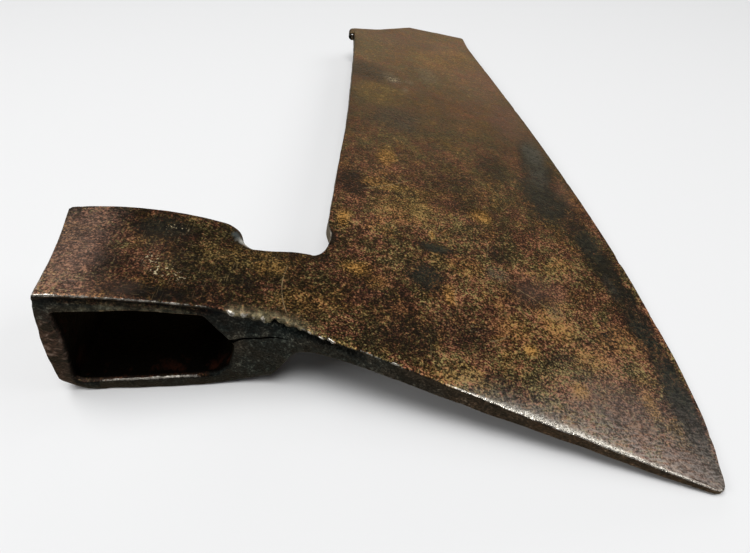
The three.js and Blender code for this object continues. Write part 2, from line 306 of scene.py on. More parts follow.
lx, ly = loop[:, 0], loop[:, 1]
thick = np.zeros(LN)
edge_poly = edge_at(np.linspace(0, edge_len, 500))


def edge_distance(x, y):
    x, y = np.atleast_1d(x).astype(float), np.atleast_1d(y).astype(float)
    out = np.empty(len(x))
    for c in range(0, len(x), 20000):
        d = (x[c:c + 20000, None] - edge_poly[None, :, 0]) ** 2 + (y[c:c + 20000, None] - edge_poly[None, :, 1]) ** 2
        out[c:c + 20000] = np.sqrt(d.min(1))
    return out


# rounding of the arrises: how far in (rh) and how far down (rv), upper and lower
rh = np.full(LN, 0.75)
rv = np.full(LN, 0.6)
is_near_s, is_near_b, is_right = side == 0, side == 1, side == 2
is_far, is_left, is_far_s, is_poll = side == 3, side == 4, side == 5, side == 6
rh[is_near_s], rv[is_near_s] = 0.8, 0.55
nb = is_near_b
rh[nb] = 0.55 + 1.5 * smooth(30, 66, lx[nb]) * (1 - 0.6 * smooth(96, 118, lx[nb]))
rv[nb] = 0.40 + 0.28 * smooth(30, 66, lx[nb]) * (1 - 0.75 * smooth(90, 118, lx[nb]))
rh[is_right], rv[is_right] = 0.5, 0.22
rh[is_far], rv[is_far] = 0.6, 0.35
rh[is_left], rv[is_left] = 0.55, 0.4
rh[is_far_s], rv[is_far_s] = 0.55, 0.4
sh = is_far_s & (lx > -38) & (lx < -22)
rh[sh] += 3.4 * bump(-30.0, 3.6, lx[sh])
rv[sh] += 1.5 * bump(-30.0, 3.6, lx[sh])
rh[is_poll], rv[is_poll] = 0.8, 0.6


def blur(v, n):
    k = np.ones(2 * n + 1) / (2 * n + 1)
    return np.convolve(np.concatenate([v[-n:], v, v[:n]]), k, "valid")


wob = line_noise(arc, 6.0, 11, 3)
rh = blur(rh, 3) * (1 + 0.28 * wob)
rv = blur(rv, 3) * (1 + 0.28 * wob)
rl = np.full(LN, 0.55)
rl[is_right] = 0.3
rl[is_near_s | is_far_s | is_poll] = 0.7
rl = blur(rl, 3) * (1 + 0.25 * line_noise(arc, 7.0, 23, 2))

# small wear of the outline, always inwards, and the nicks of the cutting edge
wear_in = 0.07 * (1 + line_noise(arc, 9.0, 5, 3)) + 0.10 * np.maximum(0, line_noise(arc, 2.6, 6, 2)) ** 1.5
wear_in[is_right] += 0.08 * (1 + line_noise(arc[is_right], 5.0, 7, 3))
right_s = arc[is_right] - arc[starts["right"]]
for at_y, depth, width in ((61.0, 0.55, 1.5), (63.5, 0.35, 1.2), (27.4, 0.35, 1.1), (31.0, 0.3, 1.6), (118.0, 0.3, 1.4), (-19.0, 0.25, 1.2), (190.0, 0.35, 1.8), (244.0, 0.3, 1.5)):
    wear_in[is_right] += depth * bump(at_y, width, ly[is_right])
# the photograph's contour lies a little outside the plain solid's on these stretches
wear_in[is_right] -= 0.62 * smooth(-36, -22, ly[is_right]) + 0.65 * smooth(25, 70, ly[is_right])
wear_in[is_far_s] -= 0.85 - 0.55 * smooth(-50, -38, lx[is_far_s]) + 1.45 * bump(-31.4, 2.3, lx[is_far_s])
wear_in[is_left] += 0.65 * bump(46.0, 3.4, ly[is_left])
wear_in[is_poll] -= 0.45 * (1 - smooth(2, 16, ly[is_poll]))
wear_in[is_near_s] -= 0.40 * bump(-83, 3.0, lx[is_near_s])
# the ragged burr beside the eye stands proud of the face
burr = np.zeros(LN)
near_all = is_near_s | is_near_b
xr = lx[near_all]
rag = line_noise(xr, 2.2, 41, 3, 0.6)
b = (1.15 + 0.35 * bump(-15.8, 1.6, xr)) * smooth(-28.0, -25.0, xr) * (1 - smooth(-14.8, -13.6, xr)) * (1 + 0.45 * rag)
b += 0.45 * smooth(-34, -29, xr) * (1 - smooth(-27, -25, xr)) * (0.8 + 0.5 * rag)
b += 0.60 * smooth(-13.5, -11, xr) * (1 - smooth(9, 15, xr)) * (0.9 + 0.7 * rag)
for at_x, high, wide in ((-26.9, 0.60, 1.0), (-23.2, 0.45, 0.8), (-20.0, 0.40, 0.7), (-16.6, 0.40, 0.8), (-12.4, 0.45, 0.9),
                         (-9.4, 0.50, 1.0), (-5.6, 0.40, 0.7), (-2.4, 0.55, 0.8), (1.4, 0.45, 0.7), (4.8, 0.35, 0.8)):
    b += high * bump(at_x, wide, xr)
b += 0.34 * smooth(10, 16, xr) * (1 - smooth(70, 112, xr)) * np.maximum(0, 0.35 + 1.4 * line_noise(xr, 2.7, 43, 3))
b += 0.20 * (1 - smooth(-36, -32, xr)) * (1 + 0.8 * line_noise(xr, 4.0, 44, 3))
burr[near_all] = np.maximum(0, b)

outer = loop - wear_in[:, None] * normal
back = np.where(near_all, set_back(lx), 0.0)
outer[:, 1] += back
inner = outer - rh[:, None] * normal
proud = outer.copy()
proud[:, 1] -= burr
inner_top = inner.copy()
inner_top[:, 1] -= burr * 0.30


def lower_outline():
    low = outer.copy()
    s = is_near_s | is_far_s | is_poll
    span = JOIN_X - poll_x(low[s, 1])
    low[s, 0] = low[s, 0] + POLL_UNDERCUT * np.clip((JOIN_X - low[s, 0]) / span, 0, 1)
    n = is_near_s
    low[n, 1] += near_y(low[n, 0]) - near_y(outer[n, 0])
    f = is_far_s
    low[f, 1] += far_y(low[f, 0]) - far_y(outer[f, 0])
    return low


low_outer = lower_outline()
low_outer[:, 1] -= back
low_outer[is_left, 0] += 1.05 * bump(47.5, 4.2, ly[is_left])
low_inner = low_outer - rl[:, None] * normal


def part(a, name):
    i = starts[name]
    c = counts[names.index(name)]
    idx = (np.arange(i, i + c + 1)) % LN
    return a[idx]


def coons(bottom, top, left_, right_, u):
    """Patch over four boundary lines; bottom and top run across, left and right run up."""
    m = len(left_) - 1
    u = u[:, None, None]
    v = (np.arange(m + 1) / m)[None, :, None]
    b_, t_, l_, r_ = bottom[:, None], top[:, None], left_[None], right_[None]
    return ((1 - v) * b_ + v * t_ + (1 - u) * l_ + u * r_
            - ((1 - u) * (1 - v) * bottom[0] + u * (1 - v) * bottom[-1] + (1 - u) * v * top[0] + u * v * top[-1]))


def grids(ring):
    ns_, nb_, rt = part(ring, "near_s"), part(ring, "near_b"), part(ring, "right")
    fr = part(ring, "far")[::-1]
    lf = part(ring, "left")[::-1]  # join corner first
    fs = part(ring, "far_s")[::-1]
    pl = part(ring, "poll")[::-1]
    t = (np.arange(N_JOINT + 1) / N_JOINT)[:, None]
    join = nb_[0] + t * (lf[0] - nb_[0])
    lfull = np.vstack([join, lf[1:]])
    g1 = coons(ns_, fs, pl, join, SOCKET_U)
    g2 = coons(nb_, fr, lfull, rt, BLADE_U)
    g1[-1, :] = g2[0, : N_JOINT + 1]
    return g1, g2


# ---- relief of the flat side ----
def top_relief(x, y):
    p = np.column_stack([x, y, np.zeros_like(x)])
    z = 0.22 * fractal(p * [1, 0.6, 1], 46, 101, 2) + 0.09 * fractal(p, 13, 102, 3)
    pits = np.maximum(0, fractal(p, 4.2, 103, 3) - 0.28)
    z -= 0.32 * pits * (0.5 + 0.5 * smooth(-0.2, 0.5, fractal(p, 30, 104, 2)))
    # the cheek lifts towards its far edge, and a shallow dish above the neck
    z += 0.35 * smooth(22, 40, y) * (1 - smooth(-40, -32, x))
    z -= 0.25 * bump(52, 18, x) * bump(16, 14, y)
    # soft roll-over towards the near edge of the blade, more and more so at the toe
    in_ = np.maximum(0, y - np.where(x > JOIN_X, near_y(np.maximum(x, JOIN_X)), -99))
    z += (0.45 * np.exp(-(in_ / 25) ** 2) - 0.55 * np.exp(-in_ / 3.4) - 0.42 * np.exp(-in_ / 12)) * smooth(28, 62, x) * (1 - 0.6 * smooth(104, 120, x))
    return z


def under_relief(x, y):
    p = np.column_stack([x, y, np.full_like(x, 50.0)])
    return 0.35 * fractal(p * [1, 0.7, 1], 34, 201, 3) + 0.10 * fractal(p, 7, 202, 3)


faces = []
verts_xyz = []
count = 0


def push(arr):
    global count
    arr = np.asarray(arr, float).reshape(-1, 3)
    verts_xyz.append(arr)
    i = count
    count += len(arr)
    return i


def grid_faces(ids, flip=False):
    a, b_, c, d = ids[:-1, :-1], ids[1:, :-1], ids[1:, 1:], ids[:-1, 1:]
    q = np.stack([a, b_, c, d] if not flip else [a, d, c, b_], -1).reshape(-1, 4)
    faces.append(q)


def surface(ring, low):
    g1, g2 = grids(ring)
    x1, y1 = g1[..., 0].ravel(), g1[..., 1].ravel()
    x2, y2 = g2[..., 0].ravel(), g2[..., 1].ravel()
    d2 = np.linalg.norm(g2 - g2[-1:, :], axis=2).ravel()
    if low:
        z1 = lower_cheek(x1, y1)
        z2 = flat_side(x2, y2) - blade_thickness(x2, y2, d2)
        fade2 = smooth(1.0, 9.0, d2)
        r1 = under_relief(x1, y1) * 0.6
        seat = smooth(-66, -60, x1) * (1 - smooth(-42, -36, x1))
        z1 = z1 + np.where(seat > 0, np.maximum(0, r1) * (1 - 0.85 * seat), r1 * smooth(-84, -74, x1))
        z2 = z2 + under_relief(x2, y2) * 0.6 * fade2
    else:
        z1 = flat_side(x1, y1) + top_relief(x1, y1)
        z2 = flat_side(x2, y2) + top_relief(x2, y2) * (0.35 + 0.65 * smooth(0.5, 12, d2))
    n1, n2 = g1.shape[:2], g2.shape[:2]
    v2 = np.column_stack([x2, y2, z2])
    i2 = push(v2)
    ids2 = i2 + np.arange(n2[0] * n2[1]).reshape(n2)
    v1 = np.column_stack([x1, y1, z1]).reshape(n1[0], n1[1], 3)
    # the join column is the blade's own
    i1 = push(v1[:-1].reshape(-1, 3))
    ids1 = np.empty(n1, int)
    ids1[:-1] = i1 + np.arange((n1[0] - 1) * n1[1]).reshape(n1[0] - 1, n1[1])
    ids1[-1] = ids2[0, : n1[1]]
    grid_faces(ids1, low)
    grid_faces(ids2, low)
    rim = np.concatenate([
        ids1[:-1, 0], ids2[:-1, 0], ids2[-1, :-1], ids2[::-1, -1][:-1],
        ids2[0, ::-1][: ROWS - N_JOINT], ids1[::-1, -1][:-1], ids1[0, ::-1][:-1],
    ])
    return rim


top_rim = surface(inner_top, False)
low_rim = surface(low_inner, True)
base = np.vstack(verts_xyz)
zt, zb = base[top_rim, 2], base[low_rim, 2]
room = zt - zb
rv_ = np.minimum(rv, room * 0.40)
rl_ = np.minimum(rl, room * 0.35)

# ---- walls: rounded arris, face, lower arris ----
rows_xyz = []
for k in range(1, TOP_RING + 1):
    a = math.pi / 2 * k / TOP_RING
    off = inner_top + (proud - inner_top) * math.sin(a)
    droop = burr * 0.50 * math.sin(a) ** 1.5
    rows_xyz.append(np.column_stack([off, zt - rv_ * (1 - math.cos(a)) - droop]))
z_hi = rows_xyz[-1][:, 2]
z_lo = zb + rl_
height = z_hi - z_lo
scale = np.minimum(1, 0.5 * height / NEAR_ROWS[-1])
depths = [d * scale for d in NEAR_ROWS]
depths += [depths[-1] + (height - depths[-1]) * k / (FAR_ROWS + 1) for k in range(1, FAR_ROWS + 1)]
socketish = is_near_s * smooth(-81, -77, lx) * (1 - smooth(-36, -26, lx))
lens = smooth(-15.5, -12, lx) * (1 - smooth(9, 18, lx)) * near_all
step_back = (bump(-14.4, 1.7, lx) + 0.7 * bump(-3.8, 1.2, lx) + 0.5 * bump(-8.6, 1.0, lx)) * near_all
for depth in depths:
    tt = depth / height
    p = outer + (low_outer - outer) * tt[:, None]
    p[:, 1] += back * (np.exp(-((depth / 5.5) ** 2)) - (1 - tt))
    # the burr overhangs the face and dies away below the arris
    p[:, 1] -= burr * np.exp(-((depth / 0.95) ** 2))
    # the face is hollow just under its arris and full again at the lip of the eye
    p[:, 1] += socketish * (0.62 * bump(1.25, 0.70, depth) - 0.12 * bump(3.6, 1.3, depth))
    # cold shut under the arris beside the neck
    p[:, 1] += 1.25 * lens * bump(1.5, 1.0, depth) * smooth(2.0, 4.0, room)
    p[:, 1] += 1.0 * step_back * bump(1.1, 1.0, depth)
    full_poll = POLL_BULGE * 4 * tt * (1 - tt)
    near_corner = np.where(side == 0, 1 - smooth(0, 9, lx - poll_x(ly)), 0)
    far_corner = np.where(side == 5, 1 - smooth(0, 9, lx - poll_x(ly)), 0)
    p[:, 0] -= full_poll * np.maximum(is_poll, np.maximum(near_corner, far_corner))
    rows_xyz.append(np.column_stack([p, z_hi - depth]))
for k in range(0, LOW_RING):
    a = math.pi / 2 * k / LOW_RING
    off = low_inner + (low_outer - low_inner) * math.cos(a)
    rows_xyz.append(np.column_stack([off, zb + rl_ * (1 - math.sin(a))]))
wall = np.array(rows_xyz)
levels = len(rows_xyz)
iw = push(wall.reshape(-1, 3))
wid = iw + np.arange(levels * LN).reshape(levels, LN)
full = np.vstack([top_rim[None], wid, low_rim[None]])
full = np.hstack([full, full[:, :1]])
a, b_, c, d = full[:-1, :-1], full[1:, :-1], full[1:, 1:], full[:-1, 1:]
faces.append(np.stack([a, b_, c, d], -1).reshape(-1, 4))

xyz = np.vstack(verts_xyz)
quads = np.vstack(faces)


# ---- rough forging of every face, along its normal ----
def vertex_normals(v, q):
    n = np.zeros_like(v)
    fn = np.cross(v[q[:, 2]] - v[q[:, 0]], v[q[:, 3]] - v[q[:, 1]])
    for k in range(4):
        np.add.at(n, q[:, k], fn)
    return n / np.maximum(np.linalg.norm(n, axis=1), 1e-12)[:, None]


vn = vertex_normals(xyz, quads)
below = flat_side(xyz[:, 0], xyz[:, 1]) - xyz[:, 2]
wallish = smooth(0.3, 2.0, below)
dn = edge_distance(xyz[:, 0], xyz[:, 1])
on_poll = 1 - smooth(-79, -74, xyz[:, 0])
amount = wallish * (0.22 * fractal(xyz, 8.0, 301, 3) + (0.08 + 0.26 * on_poll) * fractal(xyz, 2.9, 302, 2)) * smooth(0.6, 10, dn)
xyz = xyz + vn * amount[:, None]


def mesh_object(name, v, f, mark=0.0):
    me = bpy.data.meshes.new(name)
    me.from_pydata([tuple(p) for p in v], [], [tuple(int(i) for i in q) for q in f])
    me.update()
    me.validate()
    at_ = me.attributes.new("origin", "FLOAT", "FACE")
    at_.data.foreach_set("value", np.full(len(me.polygons), mark, np.float32))
    o = bpy.data.objects.new(name, me)
    bpy.context.scene.collection.objects.link(o)
    return o


# ---- cutters and the scroll ----
def rounded(corners, steps):
    out = []
    n = len(corners)
    for i, (x, z, r) in enumerate(corners):
        h = np.array([x, z], float)
        a = np.array(corners[i - 1][:2], float) - h
        b = np.array(corners[(i + 1) % n][:2], float) - h
        la, lb = np.linalg.norm(a), np.linalg.norm(b)
        half = math.acos(max(-1, min(1, float(a @ b) / (la * lb)))) / 2
        reach = min(r / math.tan(half), 0.45 * min(la, lb))
        p, q = h + a / la * reach, h + b / lb * reach
        for k in range(steps + 1):
            s = k / steps
            out.append((1 - s) ** 2 * p + 2 * s * (1 - s) * h + s * s * q)
    return np.array(out)


def even(points, step):
    p = np.vstack([points, points[:1]])
    s = np.concatenate([[0], np.cumsum(np.linalg.norm(np.diff(p, axis=0), axis=1))])
    n = int(s[-1] / step)
    t = np.arange(n) / n * s[-1]
    return np.column_stack([np.interp(t, s, p[:, 0]), np.interp(t, s, p[:, 1])]), t


def tube_mesh(name, rings, mark):
    """Closed body from rings of equal length, capped with fans."""
    n = rings.shape[1]
    v = rings.reshape(-1, 3)
    f = []
    for k in range(len(rings) - 1):
        i = np.arange(n)
        j = (i + 1) % n
        f.append(np.column_stack([k * n + i, (k + 1) * n + i, (k + 1) * n + j, k * n + j]))
    f = [tuple(q) for q in np.vstack(f)]
    v = np.vstack([v, rings[0].mean(0), rings[-1].mean(0)])
    c0, c1 = len(v) - 2, len(v) - 1
    last = (len(rings) - 1) * n
    for i in range(n):
        j = (i + 1) % n
        f.append((c0, i, j))
        f.append((c1, last + j, last + i))
    return mesh_object(name, v, f, mark)


def outward(o):
    import bmesh
    bm = bmesh.new()
    bm.from_mesh(o.data)
    bmesh.ops.recalc_face_normals(bm, faces=bm.faces)
    if bm.calc_volume(signed=True) < 0:
        bmesh.ops.reverse_faces(bm, faces=bm.faces)
    bm.to_mesh(o.data)
    bm.free()
    return o


eye, eye_s = even(rounded(EYE, 8), 0.95)
tang = np.roll(eye, -1, 0) - np.roll(eye, 1, 0)
tang /= np.linalg.norm(tang, axis=1)[:, None]
eye_n = np.column_stack([-tang[:, 1], tang[:, 0]])
if np.sum((eye - eye.mean(0)) * eye_n) < 0:
    eye_n = -eye_n
rag_e = line_noise(eye_s, 3.2, 61, 3)
rings = []
DEPTHS = [(-6.0, 1.5), (-0.15, 0.95), (0.12, 0.62), (0.45, 0.30), (0.95, 0.10), (1.6, 0.0)]
for t, o_ in DEPTHS:
    e = eye + eye_n * (o_ * (1 + 0.45 * rag_e) + 0.10 * line_noise(eye_s, 5, 62, 2))[:, None]
    rings.append(np.column_stack([e[:, 0], near_y(e[:, 0]) + t, e[:, 1]]))
for k in range(1, 18):
    w = k / 18
    y = (near_y(eye[:, 0]) + 1.6) * (1 - w) + (far_y(eye[:, 0]) - 1.6) * w
    p = np.column_stack([eye[:, 0], y, eye[:, 1]])
    o_ = 0.10 * line_noise(eye_s, 5, 62, 2) + 0.22 * fractal(p, 9, 63, 3)
    p[:, [0, 2]] += eye_n * o_[:, None]
    rings.append(p)
for t, o_ in DEPTHS[::-1]:
    e = eye + eye_n * (o_ * (1 + 0.45 * line_noise(eye_s, 3.2, 64, 3)))[:, None]
    rings.append(np.column_stack([e[:, 0], far_y(e[:, 0]) - t, e[:, 1]]))
bore = outward(tube_mesh("cut_eye", np.array(rings), 1.0))

# weld crack beside the eye: a thin wedge driven into the near face
CRACK = [(-27.2, -12.6, 0.95), (-25.6, -12.4, 0.85), (-24.0, -11.3, 0.52), (-22.4, -10.4, 0.42), (-19.5, -9.6, 0.38),
         (-16.6, -8.9, 0.34), (-14.2, -7.8, 0.36), (-12.1, -7.1, 0.28), (-10.4, -6.7, 0.20), (-8.6, -6.6, 0.12)]
cr = np.array(CRACK)
s = np.concatenate([[0], np.cumsum(np.linalg.norm(np.diff(cr[:, :2], axis=0), axis=1))])
ss = np.linspace(0, s[-1], 40)
cx, cz, cw = (np.interp(ss, s, cr[:, k]) for k in range(3))
cz = cz + 0.16 * line_noise(ss, 2.2, 71, 3)
cw = 1.25 * cw * (1 + 0.35 * line_noise(ss, 1.4, 72, 2))
yy = near_y(cx)
wedge = np.stack([
    np.column_stack([cx, yy - 1.5, cz + cw * 1.5]),
    np.column_stack([cx, yy + 0.4, cz + cw * 0.75]),
    np.column_stack([cx, yy + 2.8, cz + 0.02]),
    np.column_stack([cx, yy + 0.4, cz - cw * 0.75]),
    np.column_stack([cx, yy - 1.5, cz - cw * 1.5]),
], 1)
crack = outward(tube_mesh("cut_crack", wedge, 2.0))

# scroll rolled down at the far corner of the spine
curl_x, curl_r = 3.1, 2.6
y0, y1 = 258.3, 266.8
topz = float(flat_side(np.array(curl_x), np.array((y0 + y1) / 2))) - 0.12
N_TURN = 44
tt = np.linspace(0, 1, N_TURN)
ang = math.pi / 2 + 5.1 * tt
ro = curl_r * (1 - 0.17 * tt)
wall_t = 0.95 * (1 - 0.35 * tt)
mid_r = ro - wall_t / 2
strip_c = np.column_stack([curl_x + mid_r * np.cos(ang), topz - curl_r + mid_r * np.sin(ang)])
lead = np.column_stack([np.linspace(curl_x + 2.3, curl_x + 0.3, 6), np.full(6, topz - wall_t[0] / 2)])
strip_c = np.vstack([lead, strip_c])
wall_t = np.concatenate([np.full(6, wall_t[0]), wall_t])
tg = np.gradient(strip_c, axis=0)
tg /= np.linalg.norm(tg, axis=1)[:, None]
nn = np.column_stack([-tg[:, 1], tg[:, 0]])
rings = []
profile = [(0.0, 0.0), (0.35, 0.06), (0.5, 0.28), (0.5, 0.9)]
ys = [0.0, 0.12, 0.4, 1.0] + list(np.linspace(1.6, (y1 - y0) - 1.6, 9)) + [(y1 - y0) - 1.0, (y1 - y0) - 0.4, (y1 - y0) - 0.12, y1 - y0]
for c_, w_, n_ in zip(strip_c, wall_t, nn):
    hi, lo = [], []
    for q in ys:
        e = min(q, (y1 - y0) - q)
        h = w_ / 2 * math.sqrt(max(0.0, 1 - (1 - min(1, e / 0.42)) ** 2)) if e < 0.42 else w_ / 2
        h = max(h, 0.05)
        hi.append([c_[0] + n_[0] * h, y0 + q, c_[1] + n_[1] * h])
        lo.append([c_[0] - n_[0] * h, y0 + q, c_[1] - n_[1] * h])
    rings.append(hi + lo[::-1])
rings = np.array(rings)
flatr = rings.reshape(-1, 3)
rings = (flatr + 0.07 * np.column_stack([fractal(flatr, 2.5, 81 + k, 2) for k in range(3)])).reshape(rings.shape)
scroll = outward(tube_mesh("scroll", rings, 0.0))

head = outward(mesh_object("axe_head_forged", xyz, quads))


def boolean(target, tool, op):
    m = target.modifiers.new("b", "BOOLEAN")
    m.object = tool
    m.operation = op
    m.solver = "MANIFOLD"
    bpy.context.view_layer.update()
    dg = bpy.context.evaluated_depsgraph_get()
    new = bpy.data.meshes.new_from_object(target.evaluated_get(dg))
    old = target.data
    target.modifiers.clear()
    target.data = new
    bpy.data.meshes.remove(old)
    me = tool.data
    bpy.data.objects.remove(tool)
    bpy.data.meshes.remove(me)


# short slit in the corner where the spine meets the neck
hv = np.empty(len(head.data.vertices) * 3)
head.data.vertices.foreach_get("co", hv)
hv = hv.reshape(-1, 3)
slit_a, slit_b = np.array([-0.7, 38.9]), np.array([1.4, 41.5])
slit_top = hv[np.hypot(hv[:, 0] - 1.0, hv[:, 1] - 40.4) < 2.0][:, 2].max()
slit_t = np.linspace(0, 1, 12)
slit_c = slit_a + slit_t[:, None] * (slit_b - slit_a)
slit_c[:, 0] += 0.12 * line_noise(slit_t * 4, 1.5, 73, 2)
slit_n = np.array([-(slit_b - slit_a)[1], (slit_b - slit_a)[0]]) / np.linalg.norm(slit_b - slit_a)
slit_w = 0.30 * (1 - 0.75 * slit_t ** 3)
slit_rows = []
for side_, z_ in ((1.25, 2.5), (1.0, 0.0), (0.7, -0.9), (0.0, -1.6), (-0.7, -0.9), (-1.0, 0.0), (-1.25, 2.5)):
    q = slit_c + slit_n * (side_ * slit_w)[:, None]
    slit_rows.append(np.column_stack([q, np.full(12, slit_top + z_)]))
slit = outward(tube_mesh("cut_slit", np.stack(slit_rows, 1), 2.0))

boolean(head, bore, "DIFFERENCE")
boolean(head, crack, "DIFFERENCE")
boolean(head, slit, "DIFFERENCE")
boolean(head, scroll, "UNION")

me = head.data
n = len(me.vertices)
co = np.empty(n * 3)
me.vertices.foreach_get("co", co)
own = co.reshape(-1, 3)
placed = to_part(own)
lo_, hi_ = np.array(cad_box[0]), np.array(cad_box[1])
placed = np.clip(placed, lo_, hi_)
me.vertices.foreach_set("co", placed.ravel())
me.update()
me.shade_smooth()
me.set_sharp_from_angle(angle=math.radians(42))
org = np.zeros(len(me.polygons), np.float32)
me.attributes["origin"].data.foreach_get("value", org)
print("head: %d vertices, %d faces, from the eye %d, from the crack %d" % (len(me.vertices), len(me.polygons), (org == 1).sum(), (org == 2).sum()))
tris = sum(len(p.vertices) - 2 for p in me.polygons)
print("triangles", tris)

# ---------------------------------------------------------------------------
# what the materials read, kept on the mesh: place in the head's own frame
# ---------------------------------------------------------------------------
def put(name, values):
    at = me.attributes.new(name, "FLOAT", "POINT")
    at.data.foreach_set("value", np.ascontiguousarray(values, np.float32))


own = to_own(placed)
x, y, z = own[:, 0], own[:, 1], own[:, 2]
deep = flat_side(x, y) - z
nrm = np.empty(len(own) * 3)
me.vertices.foreach_get("normal", nrm)
nrm = nrm.reshape(-1, 3) @ LIE
at = me.attributes.new("own", "FLOAT_VECTOR", "POINT")
at.data.foreach_set("vector", np.ascontiguousarray(own, np.float32).ravel())
flat = np.column_stack([x, y, np.zeros_like(x)])
warp_x, warp_y = 2.2 * fractal(flat, 7, 501, 3), 2.2 * fractal(flat, 7, 502, 3)


def patch(cx, cy, rx, ry, soft=0.55, warp=1.0):
    d = np.hypot((x - cx + warp * warp_x) / rx, (y - cy + warp * warp_y) / ry)
    return 1 - smooth(1 - soft, 1 + soft, d)


def patches(rows):
    out = np.zeros(len(x))
    for r in rows:
        warp = min(1.0, min(r[2], r[3]) / 4)
        out = np.maximum(out, (r[4] if len(r) > 4 else 1.0) * patch(*r[:4], warp=warp))
    return out


OCHRE = [
    (5, 57, 3, 6), (11, 30, 6, 3.5), (18, 25, 4.5, 3.5, 0.8), (63, 75, 5, 5, 0.9), (40, 57, 1, 2.5), (44, 25, 3, 4.5, 0.8),
    (70, 5, 2.6, 2.2), (84, -9, 2.6, 2.6), (108, -11, 3, 6, 0.9), (114, -19, 3.5, 4, 0.6), (59, 8, 2.5, 1.2),
    (22, 109, 4, 8, 0.8), (21, 85, 12, 4, 0.6), (19, 174, 11, 13, 0.3), (53, 240, 16, 16, 0.25), (-38, 24, 5, 6, 0.3),
    (-17, 24, 7, 4, 0.6), (-7, 11, 8, 5, 0.5), (-31, 23, 4, 4, 0.4), (75, 254, 11, 19, 0.3), (66, 13, 7, 6, 0.45),
    (83, 17, 6, 7, 0.55), (53, 40, 6, 5, 0.4), (27, 10, 12, 6, 0.35), (30, 70, 12, 10, 0.35), (92, 5, 7, 6, 0.5),
]
DARK = [
    (41, 49, 6, 2.2), (36, 32, 7, 7, 0.7), (67, 52, 5, 5, 0.6), (73, 31, 9, 6, 0.6), (97, 98, 10, 17, 0.9), (99, 128, 7, 20, 0.6), (117, 25, 5, 13, 0.9),
    (120, -3, 4.2, 15), (14, 200, 15, 12, 0.35), (7, 83, 5, 8, 0.6), (74, 115, 6, 13, 0.4), (-55, 34, 10, 5, 0.9),
    (-50, 5, 12, 3.2, 0.9), (107, 82, 6, 12, 0.6), (112, 57, 6, 12, 0.7), (-26, 15, 4, 3, 0.6), (49, 3, 6, 4, 0.35),
    (0, 45, 2.5, 4, 0.9), (27, 145, 14, 12, 0.2), (-67, 15, 4, 5, 0.5), (80, 3, 4, 3, 0.5), (121, -21, 3, 5, 0.8),
    (122, -31, 2, 3, 0.8), (-44, 20, 5, 7, 0.4), (-12, 34, 12, 2, 0.4), (20, -1, 9, 4, 0.4), (58, -12, 8, 5, 0.35), (28, 4, 14, 8, 0.55), (20, 20, 10, 9, 0.35), (45, 8, 14, 9, 0.45), (-35, 12, 9, 12, 0.4), (-52, 30, 9, 6, 0.6),
]
GREEN = [
    (104, 19, 5, 6, 0.8), (36, 32, 6, 6, 0.8), (27, 144, 14, 12, 0.4), (14, 200, 16, 13, 0.55), (97, 98, 10, 17, 0.8), (99, 130, 7, 24, 0.9), (92, 112, 8, 12, 0.7),
    (111, 70, 6, 12, 0.8), (118, 20, 5, 9), (120, 0, 4, 12), (123, -8, 2.5, 6), (41, 49, 6, 2.2), (-55, 34, 8, 5, 0.5),
]
PURPLE = [
    (-78, 19, 9, 18), (-68, 5, 12, 5, 0.8), (109, 106, 4, 10, 0.5), (97, -12, 14, 9, 0.9), (80, 35, 10, 8, 0.7), (114, -30, 7, 5, 0.9),
    (92, 172, 9, 22, 0.6), (83, 217, 14, 36, 0.35), (34, 265, 36, 16, 0.25), (-60, 22, 14, 10, 0.35),
]
GLINT = [(-51, 34, 3.4, 2.2), (-54, 19, 2.5, 3), (-50, 14.5, 3.6, 2.6), (-44, 13, 2, 2, 0.6), (29, 195, 4, 3, 0.9), (38, 198, 2, 2, 0.8), (52, 11, 3, 1.4, 0.5), (89, -6, 4, 3, 0.4)]
GREYS = [(101, 140, 5, 13, 0.6), (98, 118, 4, 9, 0.4), (30, 148, 14, 12, 0.2), (64, 40, 4, 3.5, 0.5), (84, 24, 3, 4, 0.4), (112, 44, 2.5, 6, 0.3), (29, 195, 4, 4, 0.35)]
TAN = [(26, 198, 4, 6, 0.8), (38, 197, 2.6, 2.6, 0.8), (34, 184, 2, 3.5, 0.6), (49, 214, 6, 12, 0.5)]
crack_line = np.column_stack([cx, cz])
by_crack = (x > -29) & (x < -7) & (y < 6) & (deep > 5)
by_crack[by_crack] = np.min((x[by_crack, None] - crack_line[None, :, 0]) ** 2 + (z[by_crack, None] - crack_line[None, :, 1]) ** 2, axis=1) < 1.7
near_line = near_y(np.minimum(x, EDGE[0][0])) + set_back(x) * np.exp(-((deep / 5.5) ** 2))
from_near = y - near_line
out_near = np.interp(x, lx[near_all], burr[near_all])
by_crack |= (deep - 0.50 * out_near > 0.95) & (from_near < 2.6) & (x > -32) & (x < 60)
up = smooth(0.35, 0.75, nrm[:, 2]) * ~by_crack
under = smooth(0.35, 0.75, -nrm[:, 2]) * ~by_crack
edge_d = edge_distance(x, y)
arris = np.hypot(np.maximum(0, from_near + out_near), np.maximum(0, deep - 0.15) * 0.8)
wn = fractal(own, 1.5, 511, 2)
wn2 = fractal(own, 4.5, 512, 2)

